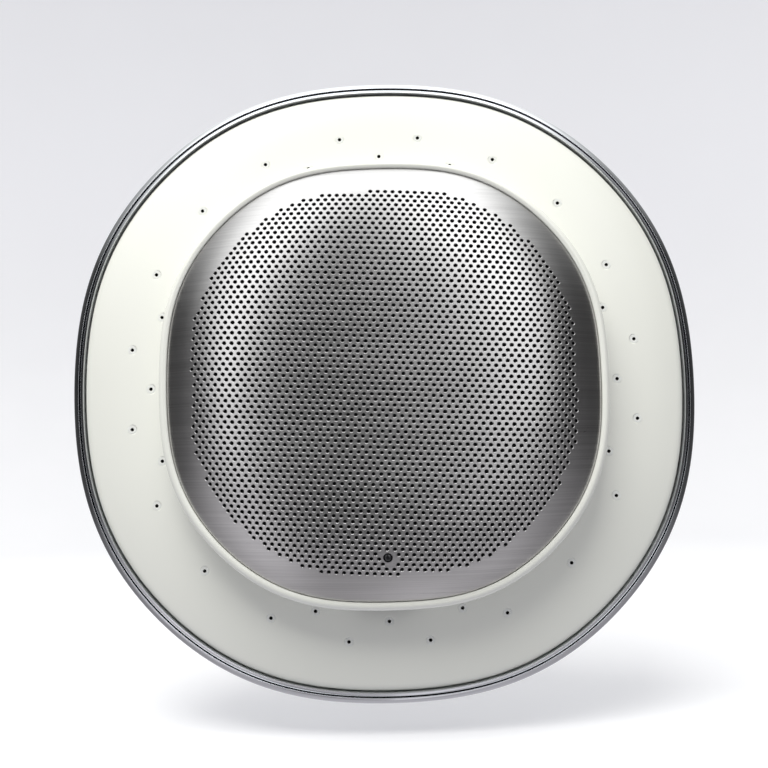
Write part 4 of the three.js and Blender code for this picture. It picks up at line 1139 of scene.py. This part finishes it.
# Mirror-like surfaces see a soft box overhead, a tall soft light to each side of the viewer, a dark gap
# where the viewer stands, and dark flags at the sides. Each row is one height, each column one direction.
AZIMUTH = (-180, -150, -128, -95, -70, -52, -42, -34, -27, -20, -13, -6, 0, 6, 13, 20, 27, 34, 42, 52, 70, 95, 128, 150, 180)
SKY = (
    (-70, (0.48, 0.48, 0.44, 0.44, 0.39, 0.29, 0.29, 0.29, 0.41, 0.46, 0.45, 0.47, 0.54, 0.69, 0.73, 0.78, 0.79, 0.73, 0.56, 0.46, 0.43, 0.44, 0.44, 0.48, 0.48)),
    (-40, (0.58, 0.53, 0.29, 0.29, 0.58, 0.89, 0.86, 0.73, 0.56, 0.31, 0.28, 0.29, 0.26, 0.30, 0.27, 0.26, 0.38, 0.54, 0.67, 0.50, 0.33, 0.29, 0.29, 0.53, 0.58)),
    (-15, (0.79, 0.58, 0.08, 0.06, 0.10, 0.29, 0.45, 0.64, 0.58, 0.04, 0.02, 0.02, 0.02, 0.02, 0.02, 0.02, 0.02, 0.07, 0.16, 0.14, 0.10, 0.06, 0.08, 0.58, 0.79)),
    (5, (0.89, 0.73, 0.06, 0.03, 0.03, 0.03, 0.15, 0.58, 1.26, 0.78, 0.02, 0.02, 0.02, 0.02, 1.16, 1.20, 0.84, 0.39, 0.03, 0.03, 0.03, 0.03, 0.06, 0.73, 0.89)),
    (25, (0.95, 0.84, 0.10, 0.05, 0.04, 0.33, 1.58, 1.99, 2.49, 2.43, 0.35, 0.02, 0.03, 1.64, 2.49, 2.49, 2.37, 1.65, 0.21, 0.03, 0.03, 0.05, 0.10, 0.84, 0.95)),
    (45, (1.05, 1.00, 0.58, 0.48, 0.83, 1.98, 2.08, 1.92, 2.37, 2.49, 1.85, 0.94, 0.84, 1.98, 2.49, 2.09, 2.03, 2.03, 1.55, 0.58, 0.19, 0.29, 0.48, 1.00, 1.05)),
    (70, (1.69, 1.69, 1.69, 1.75, 2.37, 2.15, 1.47, 1.16, 1.58, 2.03, 2.26, 2.07, 1.98, 2.09, 2.03, 1.65, 1.41, 1.55, 2.03, 2.37, 2.37, 1.75, 1.69, 1.69, 1.69)),
)
across = remap(nt, az, -180, 180, 0, 1)
total = None
for i, (height, levels) in enumerate(SKY):
    ramp = node(nt, "ShaderNodeValToRGB")
    nt.links.new(across, ramp.inputs["Fac"])
    e = ramp.color_ramp.elements
    while len(e) > 1:
        e.remove(e[-1])
    for j, (p, lv) in enumerate(zip(AZIMUTH, levels)):
        k = e[0] if j == 0 else e.new((p + 180) / 360)
        k.position = (p + 180) / 360
        k.color = (lv / 2.5, lv / 2.5, lv / 2.5, 1)
    if total is None:
        total = ramp.outputs["Color"]
    else:
        total = blend_colour(nt, remap(nt, el, SKY[i - 1][0], height, 0, 1), total, ramp.outputs["Color"])
tint = blend_colour(nt, remap(nt, el, -35, 30, 0, 1), (0.97, 0.95, 1.0), (0.985, 1.0, 1.0))
mul = node(nt, "ShaderNodeMix", data_type="RGBA", blend_type="MULTIPLY")
mul.inputs[0].default_value = 1.0
rgba = [i for i in mul.inputs if i.type == "RGBA"]
nt.links.new(total, rgba[0]); nt.links.new(tint, rgba[1])
lit = node(nt, "ShaderNodeBackground")
nt.links.new([o for o in mul.outputs if o.type == "RGBA"][0], lit.inputs["Color"])
lit.inputs["Strength"].default_value = 2.5
# everything else sees plain soft daylight
soft = node(nt, "ShaderNodeBackground")
nt.links.new(blend_colour(nt, remap(nt, el, -20, 60, 0, 1), (0.93, 0.93, 1.0), (0.99, 1.0, 0.985)), soft.inputs["Color"])
height = node(nt, "ShaderNodeFloatCurve")
points = height.mapping.curves[0].points
for i, (e, v) in enumerate(((-90, 1.6), (-55, 1.0), (-25, 0.27), (0, 0.32), (40, 0.58), (90, 0.46))):
    q = points[0 if i == 0 else len(points) - 1] if i in (0, 5) else points.new((e + 90) / 180, v / 2)
    q.location = ((e + 90) / 180, v / 2)
height.mapping.update()
nt.links.new(remap(nt, el, -90, 90, 0, 1), height.inputs["Value"])
nt.links.new(calc(nt, "MULTIPLY", height.outputs["Value"], 2.0), soft.inputs["Strength"])
seen = node(nt, "ShaderNodeBackground")
seen.inputs["Color"].default_value = (0.80, 0.81, 0.835, 1)
seen.inputs["Strength"].default_value = 1.0
path = node(nt, "ShaderNodeLightPath")
first = node(nt, "ShaderNodeMixShader")
nt.links.new(path.outputs["Is Glossy Ray"], first.inputs[0])
nt.links.new(soft.outputs[0], first.inputs[1])
nt.links.new(lit.outputs[0], first.inputs[2])
mixer = node(nt, "ShaderNodeMixShader")
nt.links.new(path.outputs["Is Camera Ray"], mixer.inputs[0])
nt.links.new(first.outputs[0], mixer.inputs[1])
nt.links.new(seen.outputs[0], mixer.inputs[2])
nt.links.new(mixer.outputs[0], out.inputs["Surface"])
world.cycles.sampling_method = "NONE"
sweep.visible_glossy = False
sweep.visible_diffuse = False


def area(name, at, target, size, power, colour=(1, 1, 1), size_y=None, shape="RECTANGLE"):
    L = bpy.data.lights.new(name, "AREA")
    L.shape, L.size, L.size_y, L.energy, L.color = shape, size, size_y or size, power, colour
    o = bpy.data.objects.new(name, L)
    bpy.context.scene.collection.objects.link(o)
    o.location = at
    o.rotation_mode = "QUATERNION"
    o.rotation_quaternion = (Vector(target) - Vector(at)).to_track_quat("-Z", "Y")
    o.visible_camera = False
    o.visible_glossy = False
    return o


area("key", (-0.15, -0.42, 0.66), (0.0, -0.03, 0.0), 0.50, 6.4, (1.0, 1.0, 0.955))
area("wash_left", (-0.75, 0.10, 0.30), (-0.35, 0.9, -0.10), 0.6, 1.1, (0.99, 0.99, 1.0))
area("wash_right", (0.75, 0.10, 0.30), (0.35, 0.9, -0.10), 0.6, 1.1, (0.99, 0.99, 1.0))

# ------------------------------------------------------------------ camera
target = Vector((0, Y0 / 1000, 0))
el_cam = math.radians(-4.5)
backward = Vector((0, -math.cos(el_cam), math.sin(el_cam)))
cam_data = bpy.data.cameras.new("camera")
cam_data.lens, cam_data.sensor_width = 39.84, 36
cam_data.clip_start, cam_data.clip_end = 0.01, 20
camera = bpy.data.objects.new("camera", cam_data)
bpy.context.scene.collection.objects.link(camera)
camera.location = target + backward * 0.273
camera.rotation_mode = "QUATERNION"
camera.rotation_quaternion = (-backward).to_track_quat("-Z", "Y") @ Quaternion((0, 0, 1), math.radians(-1.3))
bpy.context.scene.camera = camera
bpy.context.scene.view_settings.view_transform = "Standard"

# ------------------------------------------------------------------ anything not replaced keeps its CAD shape with its own finish
for n, o in NODES.items():
    if not o.hide_render:
        o.data.materials.clear()
        o.data.materials.append(MATERIAL[SLOT[n]])
        print("CAD shape shown:", n)
